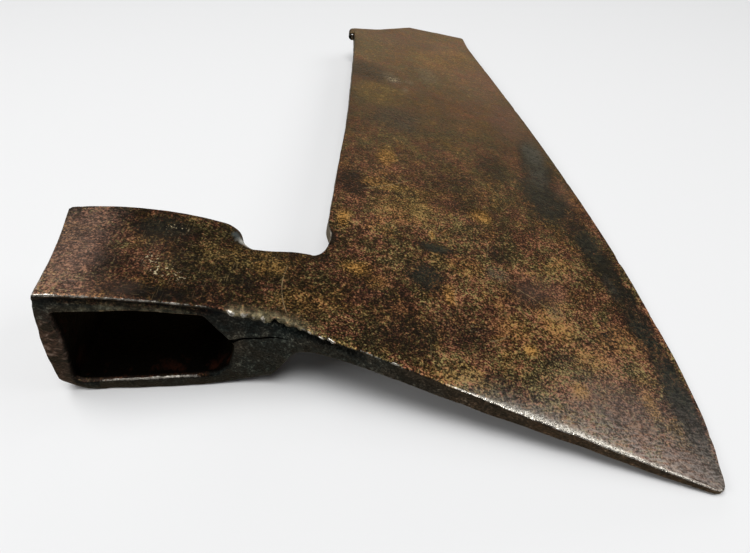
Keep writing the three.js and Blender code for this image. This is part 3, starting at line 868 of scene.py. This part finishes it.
# bare worn metal on the arrises, and painted highlights drawn as bare metal on the eye's lower lip and along and at
# the foot of the spine
on_top = smooth(0.50, 0.85, nrm[:, 2])
line = np.zeros(len(x))
sock_line = smooth(-84, -81, x) * (1 - 0.25 * smooth(-70, -50, x)) * (1 - smooth(-36, -31, x))
line = np.maximum(line, 0.84 * sock_line * np.exp(-(arris / (0.48 + 0.12 * wn2)) ** 2))
burr_line = smooth(-31, -28, x) * (1 - smooth(-16.5, -15.3, x))
crests = bump(-26.9, 1.2, x) + 0.9 * bump(-23.2, 0.9, x) + 0.8 * bump(-20.0, 0.7, x) + 0.9 * bump(-16.9, 0.9, x)
line = np.maximum(line, (0.45 + 0.55 * crests) * burr_line * np.exp(-(arris / (0.7 + 0.5 * crests)) ** 2))
rough_line = smooth(-16, -15, x) * (1 - smooth(28, 40, x))
bits = bump(-14.9, 0.9, x) + 0.8 * bump(-12.6, 0.6, x) + 0.8 * bump(-8.6, 1.2, x) + 0.8 * bump(-5.4, 1.3, x) + bump(3.4, 1.0, x) + 0.0 * bump(-9.6, 0.8, x) + bump(-2.6, 1.0, x) + bump(1.2, 0.7, x) + bump(4.6, 0.9, x) + 0.5 * bump(10.5, 1.2, x) + 0.6 * bump(24, 1.5, x)
line = np.maximum(line, (0.46 + 0.4 * bits) * rough_line * np.exp(-(arris / (0.45 + 0.25 * bits)) ** 2))
line = np.maximum(line, 0.5 * (1 - smooth(2, 24, y)) * np.exp(-(np.abs(x - poll_x(y)) / 0.8) ** 2) * (deep < 1.2))
edge_w = 0.55 + 2.2 * smooth(42, 70, x) * (1 - 0.80 * smooth(80, 108, x))
broad = smooth(30, 48, x) * (1 - 0.5 * smooth(106, 119, x)) * np.exp(-(np.maximum(0, from_near) / edge_w) ** 1.7) * on_top
# painted highlight on the facet rolled over at the shoulder, and a pit at the foot of the spine in painted shade with
# painted highlights on its rims


def near_segment(ax_, ay_, bx_, by_):
    ex, ey = bx_ - ax_, by_ - ay_
    t_ = np.clip(((x - ax_) * ex + (y - ay_) * ey) / (ex * ex + ey * ey), 0, 1)
    return np.hypot(x - ax_ - t_ * ex, y - ay_ - t_ * ey)


t_f = np.clip(((x + 31.8) * 5.2 + (y - 36.9) * -4.9) / (5.2 ** 2 + 4.9 ** 2), 0, 1)
facet_highlight = np.exp(-(near_segment(-31.8, 36.9, -26.6, 32.0) / (1.35 - 0.95 * t_f)) ** 4) * (deep < 4)
pit_shade = 0.9 * np.exp(-(near_segment(-0.6, 39.0, 1.3, 41.4) / 0.50) ** 4) * (deep < 3)
line = np.maximum(line, 0.60 * np.exp(-(near_segment(0.1, 41.3, 0.8, 43.0) / 0.40) ** 2) * (deep < 3))
line = np.maximum(line, 0.45 * np.exp(-(near_segment(2.1, 41.4, 3.1, 39.4) / 0.30) ** 2) * (deep < 2))
line = np.maximum(line, 0.6 * np.exp(-(np.hypot(x + 1.4, y - 40.2) / 0.6) ** 2) * (deep < 3))
# lower lip of the eye: worn lip with a painted highlight from the light above, drawn as bare metal
eye_ring = np.vstack([eye, eye[:1]])


def ring_distance(px, pz, ring):
    best = np.full(len(px), 1e9)
    where = np.zeros(len(px))
    for i in range(len(ring) - 1):
        a, b = ring[i], ring[i + 1]
        ab = b - a
        t = np.clip(((px - a[0]) * ab[0] + (pz - a[1]) * ab[1]) / (ab @ ab), 0, 1)
        d = np.hypot(px - a[0] - t * ab[0], pz - a[1] - t * ab[1])
        best = np.minimum(best, d)
    return best


close = (x < -18) & (y < 46) & (deep > 1.0)
ring_d = np.full(len(x), 50.0)
ring_d[close] = ring_distance(x[close], z[close], eye_ring)
inside = np.zeros(len(x))
for i in range(len(eye)):
    (xa, za), (xb, zb_) = eye[i - 1], eye[i]
    cross = ((za > z) != (zb_ > z)) & (x < (xb - xa) * (z - za) / (zb_ - za + 1e-12) + xa)
    inside[cross] = 1 - inside[cross]
bore_d = np.where(inside > 0, 0, ring_d)
into = np.minimum(from_near, far_y(x) - y)
bore_wall = (bore_d < 2.2) * smooth(0.35, 1.5, into)
low_lip = (bore_d < 1.8) * np.exp(-((from_near - 0.25) / 0.45) ** 2) * (z < -24) * smooth(-72, -62, x) * (1 - smooth(-37, -33, x)) * smooth(0.1, 0.4, nrm[:, 2])
line = np.maximum(line, 0.62 * low_lip)
# shoulder of the socket and foot of the spine; the bright lines at the foot and along the spine's left arris are
# painted highlights drawn as bare metal
line = np.maximum(line, 0.0 * bump(-30.0, 3.6, x) * smooth(0.35, 0.9, deep) * (1 - smooth(2.6, 4.0, deep)) * smooth(3.2, 1.6, np.abs(far_y(x) - y)) * (nrm[:, 2] > 0.3))
line = np.maximum(line, 0.15 * bump(0.2, 1.4, x) * bump(49, 5.0, y) * smooth(0.0, 0.5, deep) * (1 - smooth(2.5, 4.5, deep)))
foot_x = np.interp(y, [43, 54], [0.3, -0.5]) + 0.65 * bump(46.0, 3.4, y)
line = np.maximum(line, 0.55 * bump(46.5, 4.5, y) * np.exp(-(np.abs(x - foot_x - 0.1) / 0.40) ** 2) * (deep < 1))
line = np.maximum(line, 0.50 * (x > -3) * (x < 3) * bump(41.5, 1.8, y) * (deep > 0.3) * (deep < 5) * (1 - up))
line = np.maximum(line, 0.35 * (x < 6) * (y > 60) * (y < 257) * np.exp(-(np.abs(deep - 0.2) / 0.5) ** 2) * (1 - up))
# pale lip rolled over beside the eye
pale = smooth(-30, -26, x) * (1 - smooth(-8, 2, x)) * np.exp(-(np.maximum(0, from_near + out_near) / 2.8) ** 2) * (1 - smooth(0.9, 2.0, deep - 0.50 * out_near))
pale = np.maximum(pale, 0.25 * smooth(-80, -70, x) * (1 - smooth(-44, -36, x)) * (1 - smooth(1.8, 3.2, bore_d)) * smooth(-9.5, -7.5, z + 0.09 * (x + 78)) * (nrm[:, 1] < -0.5) * (z < -1.5))
# smoother worn patina above the near edge and on the cheek's poll end, lightened with a painted sheen
patina_and_painted_sheen = smooth(34, 66, x) * np.exp(-(np.maximum(0, from_near) / (5.0 + 15.0 * smooth(60, 98, x))) ** 1.3) * up
patina_and_painted_sheen = np.maximum(patina_and_painted_sheen, 0.22 * (1 - smooth(-76, -62, x)) * up)


dark = patches(DARK) * up
band_at = np.interp(y, [-30, -15, 0, 10, 35, 60, 70, 90], [1.4, 3.0, 5.0, 5.8, 6.8, 9.0, 10.5, 11.0])
band_w = np.interp(y, [-30, -12, 0, 35, 90], [1.6, 2.9, 4.2, 4.8, 4.8]) * (1 + 0.45 * fractal(flat, 9, 521, 3))
band = 1 - smooth(0.55, 1.45, np.abs(edge_d + 0.6 * warp_x - band_at) / band_w)
band *= smooth(-32, -22, y) * (1 - smooth(58, 105, y)) * np.clip(0.95 + 0.5 * fractal(flat, 6, 522, 2), 0, 1)
dark = np.maximum(dark, band * up)
rim = (1 - smooth(0.6, 2.2, edge_d)) * smooth(-36, -25, y) * up
far = smooth(40, 170, y)
wall_ = 1 - np.maximum(up, under)

put("ochre", patches(OCHRE) * up * (1 - 0.8 * dark))
put("dark", np.clip(dark * (1 - rim), 0, 1))
put("green", np.clip(np.maximum(patches(GREEN), 0.35 * band) * up * (1 - rim), 0, 1))
put("purple", patches(PURPLE) * up)
put("line", np.clip(line, 0, 1))
put("broad", np.clip(broad, 0, 1))
put("near_in", np.clip(from_near, -3, 40))
put("lift", smooth(48, 70, x) * (1 - smooth(50, 95, y)) * up)
put("glint", patches(GLINT) * up * (deep < 3))
put("grey", patches(GREYS) * up * (deep < 3))
put("tan", patches(TAN) * up * (deep < 3))
# painted shade in the hollow under the scroll
pit_shade = np.maximum(pit_shade, 0.45 * (x < 3.6) * (y > 257.5) * smooth(0.9, 2.0, deep))
put("pit_shade", np.clip(pit_shade, 0, 1))
put("facet_highlight", np.clip(facet_highlight, 0, 1))
put("facet_t", t_f)
put("low_face", (1 - smooth(-30, -24, z)) * (x < -18))
put("groove_shade", (nrm[:, 1] < -0.2) * (x < -27) * smooth(0.45, 0.9, deep) * (1 - smooth(2.1, 3.4, deep)))
put("pale", np.clip(pale, 0, 1))
put("patina_and_painted_sheen", np.clip(patina_and_painted_sheen, 0, 1))
put("bore", np.clip(bore_wall, 0, 1))
put("wall", np.clip(wall_, 0, 1))
put("under", under)
put("far", far)
put("far_painted_sheen", smooth(110, 230, y))
put("cheek", (1 - smooth(-14, 12, x)) * smooth(-76, -66, x) * up)
put("toeward", smooth(10, 70, x) * wall_)
put("pollward", (1 - smooth(-80, -71, x)) * smooth(6, 14, deep))

# ---------------------------------------------------------------------------
# forged and rusted iron
# ---------------------------------------------------------------------------
mat = bpy.data.materials.new("forged_iron")
mat.use_nodes = True
nt = mat.node_tree
nt.nodes.clear()


def node(kind, **sets):
    n_ = nt.nodes.new(kind)
    for k, v in sets.items():
        setattr(n_, k, v)
    return n_


def plug(socket, value):
    if isinstance(value, bpy.types.NodeSocket):
        nt.links.new(value, socket)
    else:
        socket.default_value = value


def attr(name, out="Fac"):
    n_ = node("ShaderNodeAttribute")
    n_.attribute_name = name
    return n_.outputs[out]


def calc(op, a, b=0.5, c=None, clamp=False):
    n_ = node("ShaderNodeMath", operation=op, use_clamp=clamp)
    plug(n_.inputs[0], a)
    plug(n_.inputs[1], b)
    if c is not None:
        plug(n_.inputs[2], c)
    return n_.outputs[0]


def vec(op, a, b):
    n_ = node("ShaderNodeVectorMath", operation=op)
    plug(n_.inputs[0], a)
    plug(n_.inputs[1], b)
    return n_.outputs[0]


def grain(v, size, detail=2.0, rough=0.55, seed=0.0, squeeze=(1, 1, 1), warp=0.0):
    n_ = node("ShaderNodeTexNoise")
    k = vec("MULTIPLY_ADD", v, tuple(q / size for q in squeeze))
    k.node.inputs[2].default_value = (seed * 7.13, seed * 3.71, seed * 5.37)
    plug(n_.inputs["Vector"], k)
    plug(n_.inputs["Scale"], 1.0)
    plug(n_.inputs["Detail"], detail)
    plug(n_.inputs["Roughness"], rough)
    plug(n_.inputs["Distortion"], warp)
    return n_.outputs["Fac"]


def step(v, lo, hi, to0=0.0, to1=1.0):
    n_ = node("ShaderNodeMapRange", interpolation_type="SMOOTHSTEP", clamp=True)
    plug(n_.inputs["Value"], v)
    for k, q in zip(("From Min", "From Max", "To Min", "To Max"), (lo, hi, to0, to1)):
        plug(n_.inputs[k], q)
    return n_.outputs["Result"]


def mix(f, a, b, mode="MIX"):
    n_ = node("ShaderNodeMix", data_type="RGBA", blend_type=mode, clamp_factor=True)
    plug(n_.inputs[0], f)
    plug(n_.inputs[6], a if isinstance(a, bpy.types.NodeSocket) else (*a, 1))
    plug(n_.inputs[7], b if isinstance(b, bpy.types.NodeSocket) else (*b, 1))
    return n_.outputs[2]


def ramp(v, stops):
    n_ = node("ShaderNodeValToRGB")
    e = n_.color_ramp.elements
    e[0].position, e[0].color = stops[0][0], (*stops[0][1], 1)
    e[1].position, e[1].color = stops[-1][0], (*stops[-1][1], 1)
    for p_, c_ in stops[1:-1]:
        q = e.new(p_)
        q.color = (*c_, 1)
    plug(n_.inputs[0], v)
    return n_.outputs[0]


def add_up(*terms):
    out = terms[0]
    for t_ in terms[1:]:
        out = calc("ADD", out, t_)
    return out


def centred(v, gain):
    """(v - 0.5) * gain"""
    return calc("MULTIPLY_ADD", v, gain, -0.5 * gain)


P = attr("own", "Vector")
a_ochre, a_dark, a_green, a_purple = attr("ochre"), attr("dark"), attr("green"), attr("purple")
a_line, a_broad, a_pale, a_patina_and_painted_sheen, a_bore = attr("line"), attr("broad"), attr("pale"), attr("patina_and_painted_sheen"), attr("bore")
a_wall, a_under, a_far = attr("wall"), attr("under"), attr("far")
a_org = attr("origin")
a_crevice_shade = calc("GREATER_THAN", a_org, 1.5)
a_toe, a_poll = attr("toeward"), attr("pollward")

n_big = grain(P, 26, 3, 0.55, 1)
n_mid = grain(P, 6.5, 4, 0.62, 2, warp=0.4)
n_small = grain(P, 1.9, 3, 0.70, 3, warp=0.5)
n_fine = grain(P, 0.72, 2, 0.65, 4)
n_hue = grain(P, 9.0, 4, 0.65, 5)
n_hue2 = grain(P, 1.5, 2, 0.6, 6)
n_speck = grain(P, 0.95, 2, 0.7, 7)

# how far the rust has gone: below 0 black scale, about 0.5 brown, above 1 ochre bloom
contrast = calc("MULTIPLY_ADD", a_far, -0.60, 1.0)
v = add_up(calc("MULTIPLY", centred(n_big, 1.0), calc("MULTIPLY_ADD", a_far, -0.3, 1.0)), centred(n_mid, 0.95), centred(n_small, 1.4), calc("MULTIPLY", centred(n_fine, 2.9), calc("MULTIPLY_ADD", a_far, -0.45, 1.0)))
v = calc("SUBTRACT", v, calc("MULTIPLY", step(n_speck, 0.58, 0.70), 0.22))
# raised threads of brighter rust
thread1 = step(calc("ABSOLUTE", calc("SUBTRACT", grain(P, 3.4, 2, 0.55, 31, warp=0.8), 0.5), 0.0), 0.004, 0.034, 1, 0)
thread2 = step(calc("ABSOLUTE", calc("SUBTRACT", grain(P, 5.2, 2, 0.6, 32, squeeze=(0.6, 1.5, 1), warp=1.2), 0.5), 0.0), 0.003, 0.022, 1, 0)
threads = calc("MULTIPLY", calc("MAXIMUM", thread1, thread2), step(grain(P, 2.2, 2, 0.5, 33), 0.44, 0.60))
v = calc("MULTIPLY_ADD", threads, 0.30, calc("ADD", v, -0.03))
v = calc("MULTIPLY", v, contrast)
v = calc("ADD", v, 0.475)
v = calc("MULTIPLY_ADD", a_ochre, 0.26, v)
v = calc("MULTIPLY_ADD", a_dark, -0.36, v)
# painted sheen: the colour grows lighter towards the far end of the blade
v = calc("MULTIPLY_ADD", attr("far_painted_sheen"), 0.13, v)
v = calc("MULTIPLY_ADD", attr("lift"), 0.10, v)
a_cheek = attr("cheek")
v = calc("MULTIPLY_ADD", a_cheek, -0.16, v)
olive = ramp(v, [(0.0, (0.0070, 0.0048, 0.0012)), (0.25, (0.019, 0.0140, 0.0044)), (0.48, (0.049, 0.0362, 0.0125)),
                 (0.70, (0.106, 0.081, 0.029)), (1.0, (0.33, 0.25, 0.095))])
warm = ramp(v, [(0.0, (0.0085, 0.0042, 0.0012)), (0.25, (0.024, 0.0120, 0.0040)), (0.48, (0.062, 0.0310, 0.0115)),
                (0.70, (0.128, 0.069, 0.027)), (1.0, (0.36, 0.205, 0.085))])
red = ramp(v, [(0.0, (0.0100, 0.0038, 0.0024)), (0.25, (0.028, 0.0112, 0.0070)), (0.48, (0.079, 0.0270, 0.0135)),
               (0.70, (0.162, 0.062, 0.032)), (1.0, (0.40, 0.180, 0.095))])
hue = add_up(centred(n_hue, 3.4), centred(n_hue2, 2.6), centred(grain(P, 0.8, 1, 0.5, 15), 3.2), centred(grain(P, 30, 2, 0.5, 17), 2.4))
hue = calc("MULTIPLY", hue, calc("MULTIPLY_ADD", a_far, -0.5, 1.0))
hue = calc("ADD", calc("MULTIPLY_ADD", a_far, -0.10, hue), 0.54)
hue = calc("MULTIPLY_ADD", a_purple, 0.55, hue)
hue = calc("MULTIPLY_ADD", a_ochre, -0.35, hue)
rust = mix(step(hue, 0.5, 1.0), mix(step(hue, 0.0, 0.5), olive, warm), red)
bloom = ramp(v, [(0.0, (0.010, 0.0050, 0.0010)), (0.25, (0.030, 0.0150, 0.0035)), (0.48, (0.086, 0.0440, 0.0090)),
                 (0.70, (0.185, 0.090, 0.021)), (1.0, (0.46, 0.245, 0.070))])
n_zone = grain(P, 13, 3, 0.55, 16, warp=0.6)
zone = calc("MAXIMUM", calc("MULTIPLY", a_ochre, 1.0), step(add_up(n_zone, centred(n_small, 0.35)), 0.50, 0.70, 0.0, 0.45))
rust = mix(zone, rust, bloom)
greenish = mix(step(n_small, 0.40, 0.62), (0.007, 0.009, 0.008), (0.034, 0.038, 0.026))
rust = mix(calc("MULTIPLY", a_dark, step(n_small, 0.30, 0.72, 0.95, 0.45)), rust, (0.0055, 0.0055, 0.0050))
rust = mix(calc("MULTIPLY", a_green, step(v, 0.25, 0.60, 0.85, 0.10)), rust, greenish)
rust = mix(calc("MULTIPLY", attr("grey"), step(n_small, 0.36, 0.60, 0.1, 1.0)), rust, (0.078, 0.078, 0.064))
rust = mix(calc("MULTIPLY", attr("tan"), step(n_small, 0.36, 0.62, 0.05, 0.8)), rust, (0.185, 0.140, 0.085))
haze = mix(step(n_mid, 0.35, 0.65), (0.085, 0.055, 0.041), (0.145, 0.099, 0.074))
rust = mix(calc("MULTIPLY", a_purple, 0.36), rust, haze)
streak = grain(P, 1.0, 2, 0.6, 14, squeeze=(0.30, 1.7, 1))
# painted sheen: a pale grey veil of reflected light mixed into the colour above the near edge and at the poll end
rust = mix(calc("MULTIPLY", a_patina_and_painted_sheen, step(add_up(centred(streak, 1.4), centred(n_small, 1.0), centred(n_fine, 1.6), 0.5), 0.2, 0.8, 0.24, 0.88)), rust, (0.252, 0.226, 0.204))

# near face and side walls: close grey scale, browner towards the toe and at the poll
scale_v = add_up(centred(n_mid, 1.1), centred(n_small, 1.3), centred(n_fine, 1.6))
scale_v = calc("ADD", scale_v, 0.46)
grey = ramp(scale_v, [(0.0, (0.0016, 0.0026, 0.0028)), (0.40, (0.0060, 0.0086, 0.0086)), (0.70, (0.0205, 0.0258, 0.0230)), (1.0, (0.100, 0.110, 0.090))])
brown_wall = ramp(scale_v, [(0.0, (0.008, 0.006, 0.004)), (0.45, (0.028, 0.018, 0.011)), (0.75, (0.075, 0.042, 0.023)), (1.0, (0.18, 0.12, 0.075))])
wallc = mix(calc("MULTIPLY_ADD", a_toe, 0.75, calc("MULTIPLY_ADD", n_hue, 1.2, -0.5), clamp=True), grey, brown_wall)
poll_v = add_up(centred(grain(P, 4.2, 3, 0.6, 19, squeeze=(1, 1, 1.6), warp=1.0), 2.6), centred(n_small, 1.4), 0.45)
poll_c = ramp(poll_v, [(0.0, (0.006, 0.005, 0.004)), (0.35, (0.026, 0.016, 0.012)), (0.60, (0.060, 0.032, 0.022)), (1.0, (0.20, 0.14, 0.11))])
wallc = mix(calc("MULTIPLY", a_poll, 0.9), wallc, poll_c)
# painted shade: near black in the hollow just under the socket's arris
wallc = mix(calc("MULTIPLY", attr("groove_shade"), 0.85), wallc, (0.0022, 0.0032, 0.0042))
wallc = mix(calc("MULTIPLY", attr("low_face"), 0.40), wallc, (0.0030, 0.0032, 0.0030))
rust = mix(calc("MULTIPLY", a_cheek, 0.25), rust, (0.0, 0.0, 0.0))
col = mix(a_wall, rust, wallc)
underc = mix(step(v, 0.2, 0.8), (0.020, 0.016, 0.011), (0.085, 0.050, 0.024))
col = mix(a_under, col, underc)
# rolled lip beside the eye
palec = mix(step(n_small, 0.38, 0.64), (0.055, 0.050, 0.030), (0.26, 0.22, 0.13))
col = mix(calc("MULTIPLY", a_pale, step(n_mid, 0.30, 0.62, 0.35, 0.9)), col, palec)
# inside of the eye: rust near the lip, painted shade near black deeper in
rusty = step(n_mid, 0.53, 0.70)
bore_rust_and_shade = mix(calc("MULTIPLY", rusty, step(attr("near_in"), 2.0, 14.0, 1.0, 0.10)), (0.0030, 0.0026, 0.0022), (0.036, 0.012, 0.007))
col = mix(a_bore, col, bore_rust_and_shade)
# painted shade: near black in the crack, the slit, the pit at the spine's foot and the hollow under the scroll
col = mix(calc("MAXIMUM", a_crevice_shade, attr("pit_shade")), col, (0.002, 0.002, 0.002))
# bare worn metal and painted highlights, broken up by the rust left in its pits
n_break = grain(P, 2.6, 3, 0.6, 8)
# painted highlight on the facet rolled over at the shoulder, blue-grey at its start
facet_highlight_c = mix(step(attr("facet_t"), 0.15, 0.45), (0.055, 0.066, 0.066), (0.46, 0.46, 0.42))
col = mix(calc("MULTIPLY", attr("facet_highlight"), step(n_small, 0.25, 0.5, 0.55, 1.0)), col, facet_highlight_c)
col = mix(calc("MULTIPLY", attr("glint"), step(grain(P, 1.0, 2, 0.6, 18), 0.60, 0.66)), col, (0.55, 0.45, 0.27))
# bright lines: worn bare metal on the arrises and painted highlights on the eye's lower lip and the spine
thin = add_up(calc("MULTIPLY", a_line, 1.30), centred(n_speck, 0.75), centred(n_break, 0.9))
thin = calc("MULTIPLY", step(thin, 0.40, 0.80), calc("GREATER_THAN", a_line, 0.04))
wide = add_up(calc("MULTIPLY", a_broad, 1.05), centred(n_speck, 0.75), centred(n_break, 0.65))
wide = calc("MULTIPLY", step(wide, 0.22, 0.98), calc("GREATER_THAN", a_broad, 0.02))
bare_and_highlight = calc("MAXIMUM", thin, wide)
steel_and_highlight_c = mix(step(n_fine, 0.3, 0.7), (0.34, 0.31, 0.26), (0.60, 0.57, 0.51))
col = mix(bare_and_highlight, col, steel_and_highlight_c)


def stroke(lo, hi, shift, bend, tilt, width, along):
    """A scratch: |across - (shift + tilt*s + bend*s*s)| < width, over a length lo..hi."""
    xyz_ = node("ShaderNodeSeparateXYZ")
    plug(xyz_.inputs[0], P)
    s_, c_ = (xyz_.outputs[1], xyz_.outputs[0]) if along == "y" else (xyz_.outputs[0], xyz_.outputs[1])
    q = calc("MULTIPLY_ADD", calc("MULTIPLY_ADD", s_, bend, tilt), s_, shift)
    d_ = calc("ABSOLUTE", calc("SUBTRACT", c_, q), 0.0)
    m = step(d_, width * 0.4, width, 1, 0)
    m = calc("MULTIPLY", m, step(s_, lo, lo + 0.15 * (hi - lo)))
    m = calc("MULTIPLY", m, step(s_, hi - 0.15 * (hi - lo), hi, 1, 0))
    return calc("MULTIPLY", m, step(n_small, 0.36, 0.55))


def through3(p0, p1, p2):
    """Coefficients of the parabola c = a + b s + d s^2 through three (s, c) pairs."""
    a_, b2, c2 = np.linalg.solve(np.array([[1, q[0], q[0] ** 2] for q in (p0, p1, p2)]), np.array([q[1] for q in (p0, p1, p2)]))
    return dict(shift=float(a_), tilt=float(b2), bend=float(c2))


STROKES = [
    ("y", 2.8, 27.6, through3((2.8, -9.5), (15.0, -13.2), (27.6, -12.0)), 0.28),
    ("x", 37.3, 46.0, through3((37.3, 60.1), (42.0, 57.8), (46.0, 52.0)), 0.33),
    ("x", 26.5, 36.0, through3((26.5, 57.5), (31.0, 59.8), (36.0, 60.3)), 0.25),
    ("y", 20.0, 29.5, through3((20.0, 46.6), (25.0, 46.0), (29.5, 47.6)), 0.28),
    ("x", 56.0, 64.0, through3((56.0, 6.3), (60.0, 7.7), (64.0, 10.4)), 0.45),
    ("x", 10.0, 33.0, through3((10.0, 78.5), (21.0, 84.0), (33.0, 93.0)), 0.50),
    ("x", 22.0, 31.0, through3((22.0, 104.0), (27.0, 111.0), (31.0, 112.0)), 0.45),
    ("x", 68.0, 84.0, through3((68.0, 36.0), (76.0, 30.5), (84.0, 24.0)), 0.28),
    ("y", 48.0, 62.0, through3((48.0, 61.0), (55.0, 62.6), (62.0, 62.0)), 0.22),
]
marks = 0.0
for along, lo, hi, curve, width in STROKES:
    marks = calc("MAXIMUM", marks, stroke(lo, hi, curve["shift"], curve["bend"], curve["tilt"], width, along))
# stray fine rubbing marks, running with the edge and slantwise
fine1 = step(grain(P, 1.0, 1, 0.5, 11, squeeze=(2.6, 0.16, 1)), 0.66, 0.74)
fine2 = step(grain(P, 1.0, 1, 0.5, 12, squeeze=(0.22, 2.4, 1)), 0.67, 0.75)
stray = calc("MULTIPLY", calc("MAXIMUM", fine1, fine2), step(n_big, 0.42, 0.62, 0.15, 1.0))
marks = calc("MAXIMUM", marks, calc("MULTIPLY", stray, 0.38))
marks = calc("MULTIPLY", marks, calc("SUBTRACT", 1.0, calc("MAXIMUM", calc("MAXIMUM", a_wall, a_bore), calc("MULTIPLY", a_far, 0.8))))
col = mix(calc("MULTIPLY", marks, 0.75), col, (0.24, 0.17, 0.085))

rough = add_up(centred(n_mid, 0.25), centred(n_small, 0.20), 0.50)
rough = calc("MULTIPLY_ADD", a_ochre, 0.12, rough)
rough = calc("MULTIPLY_ADD", a_patina_and_painted_sheen, -0.19, rough)
rough = calc("MULTIPLY_ADD", a_bore, 0.3, rough)
rough = calc("MULTIPLY_ADD", bare_and_highlight, -0.16, rough)
rough = calc("MAXIMUM", calc("MINIMUM", rough, 0.95), 0.24)
metal = calc("MULTIPLY_ADD", bare_and_highlight, 0.40, calc("MULTIPLY_ADD", a_wall, 0.25, 0.55), clamp=True)
metal = calc("MAXIMUM", metal, calc("MAXIMUM", a_bore, a_crevice_shade))

pits = step(grain(P, 1.35, 2, 0.5, 21), 0.30, 0.46)
height_ = add_up(calc("MULTIPLY", n_small, 0.55), calc("MULTIPLY", n_fine, 0.50), calc("MULTIPLY", pits, 0.35), calc("MULTIPLY", n_mid, 0.6))
height_ = calc("SUBTRACT", height_, calc("MULTIPLY", marks, 0.35))
bump_ = node("ShaderNodeBump")
plug(bump_.inputs["Strength"], 1.0)
plug(bump_.inputs["Distance"], 0.00022)
plug(bump_.inputs["Height"], height_)

bsdf = node("ShaderNodeBsdfPrincipled")
plug(bsdf.inputs["Base Color"], col)
plug(bsdf.inputs["Roughness"], rough)
plug(bsdf.inputs["Metallic"], metal)
bsdf.inputs["Specular IOR Level"].default_value = 0.12
bsdf.inputs["Specular Tint"].default_value = (0.95, 0.80, 0.62, 1)
plug(bsdf.inputs["Normal"], bump_.outputs[0])
outn = node("ShaderNodeOutputMaterial")
nt.links.new(bsdf.outputs[0], outn.inputs[0])
me.materials.clear()
me.materials.append(mat)

head.name = "axe_head_forged"
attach(head, "root")
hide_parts("axe_head")

# ---- floor, light, camera ----
fm = bpy.data.meshes.new("floor")
R = 6.0
fm.from_pydata([(-R, -R, 0), (R, -R, 0), (R, R, 0), (-R, R, 0)], [], [(0, 1, 2, 3)])
floor = bpy.data.objects.new("floor", fm)
bpy.context.scene.collection.objects.link(floor)
floor.location.z = -0.00005
fmat = bpy.data.materials.new("floor_pale")
fmat.use_nodes = True
fb = fmat.node_tree.nodes["Principled BSDF"]
fb.inputs["Base Color"].default_value = (0.700, 0.702, 0.705, 1)
fb.inputs["Roughness"].default_value = 0.9
fb.inputs["Specular IOR Level"].default_value = 0.1
fm.materials.append(fmat)

world = bpy.data.worlds.new("studio")
bpy.context.scene.world = world
world.use_nodes = True
world.node_tree.nodes["Background"].inputs[0].default_value = (0.97, 0.985, 1.0, 1)
world.node_tree.nodes["Background"].inputs[1].default_value = 0.065


def area(name, loc, target, size, power, colour=(1, 1, 1)):
    ld = bpy.data.lights.new(name, "AREA")
    ld.shape = "RECTANGLE"
    ld.size, ld.size_y = size
    ld.energy = power
    ld.color = colour
    o = bpy.data.objects.new(name, ld)
    o.location = loc
    from mathutils import Vector
    o.rotation_euler = (Vector(target) - Vector(loc)).to_track_quat("-Z", "Y").to_euler()
    bpy.context.scene.collection.objects.link(o)


area("overhead", (-0.15, -0.17, 1.30), (0.0, -0.02, 0), (1.4, 0.50), 19.5)
area("left", (-1.15, -0.45, 0.62), (0.05, -0.12, 0), (0.7, 0.5), 4.8)
area("window", (1.00, 0.02, 0.92), (0.06, -0.08, 0), (0.8, 0.7), 4.0)
area("behind", (0.35, 1.75, 0.55), (0.04, 0.05, 0), (1.8, 0.8), 7.0)

cam = bpy.data.cameras.new("camera")
cam.sensor_width = 36.0
cam.lens = 563.0 / 750.0 * 36.0
cam.clip_start = 0.01
cam.clip_end = 50
camo = bpy.data.objects.new("camera", cam)
camo.location = (-0.00012, -0.24355, 0.16004)
camo.rotation_euler = (math.radians(90 - 44), 0, 0)
bpy.context.scene.collection.objects.link(camo)
bpy.context.scene.camera = camo
bpy.context.scene.view_settings.view_transform = "Standard"
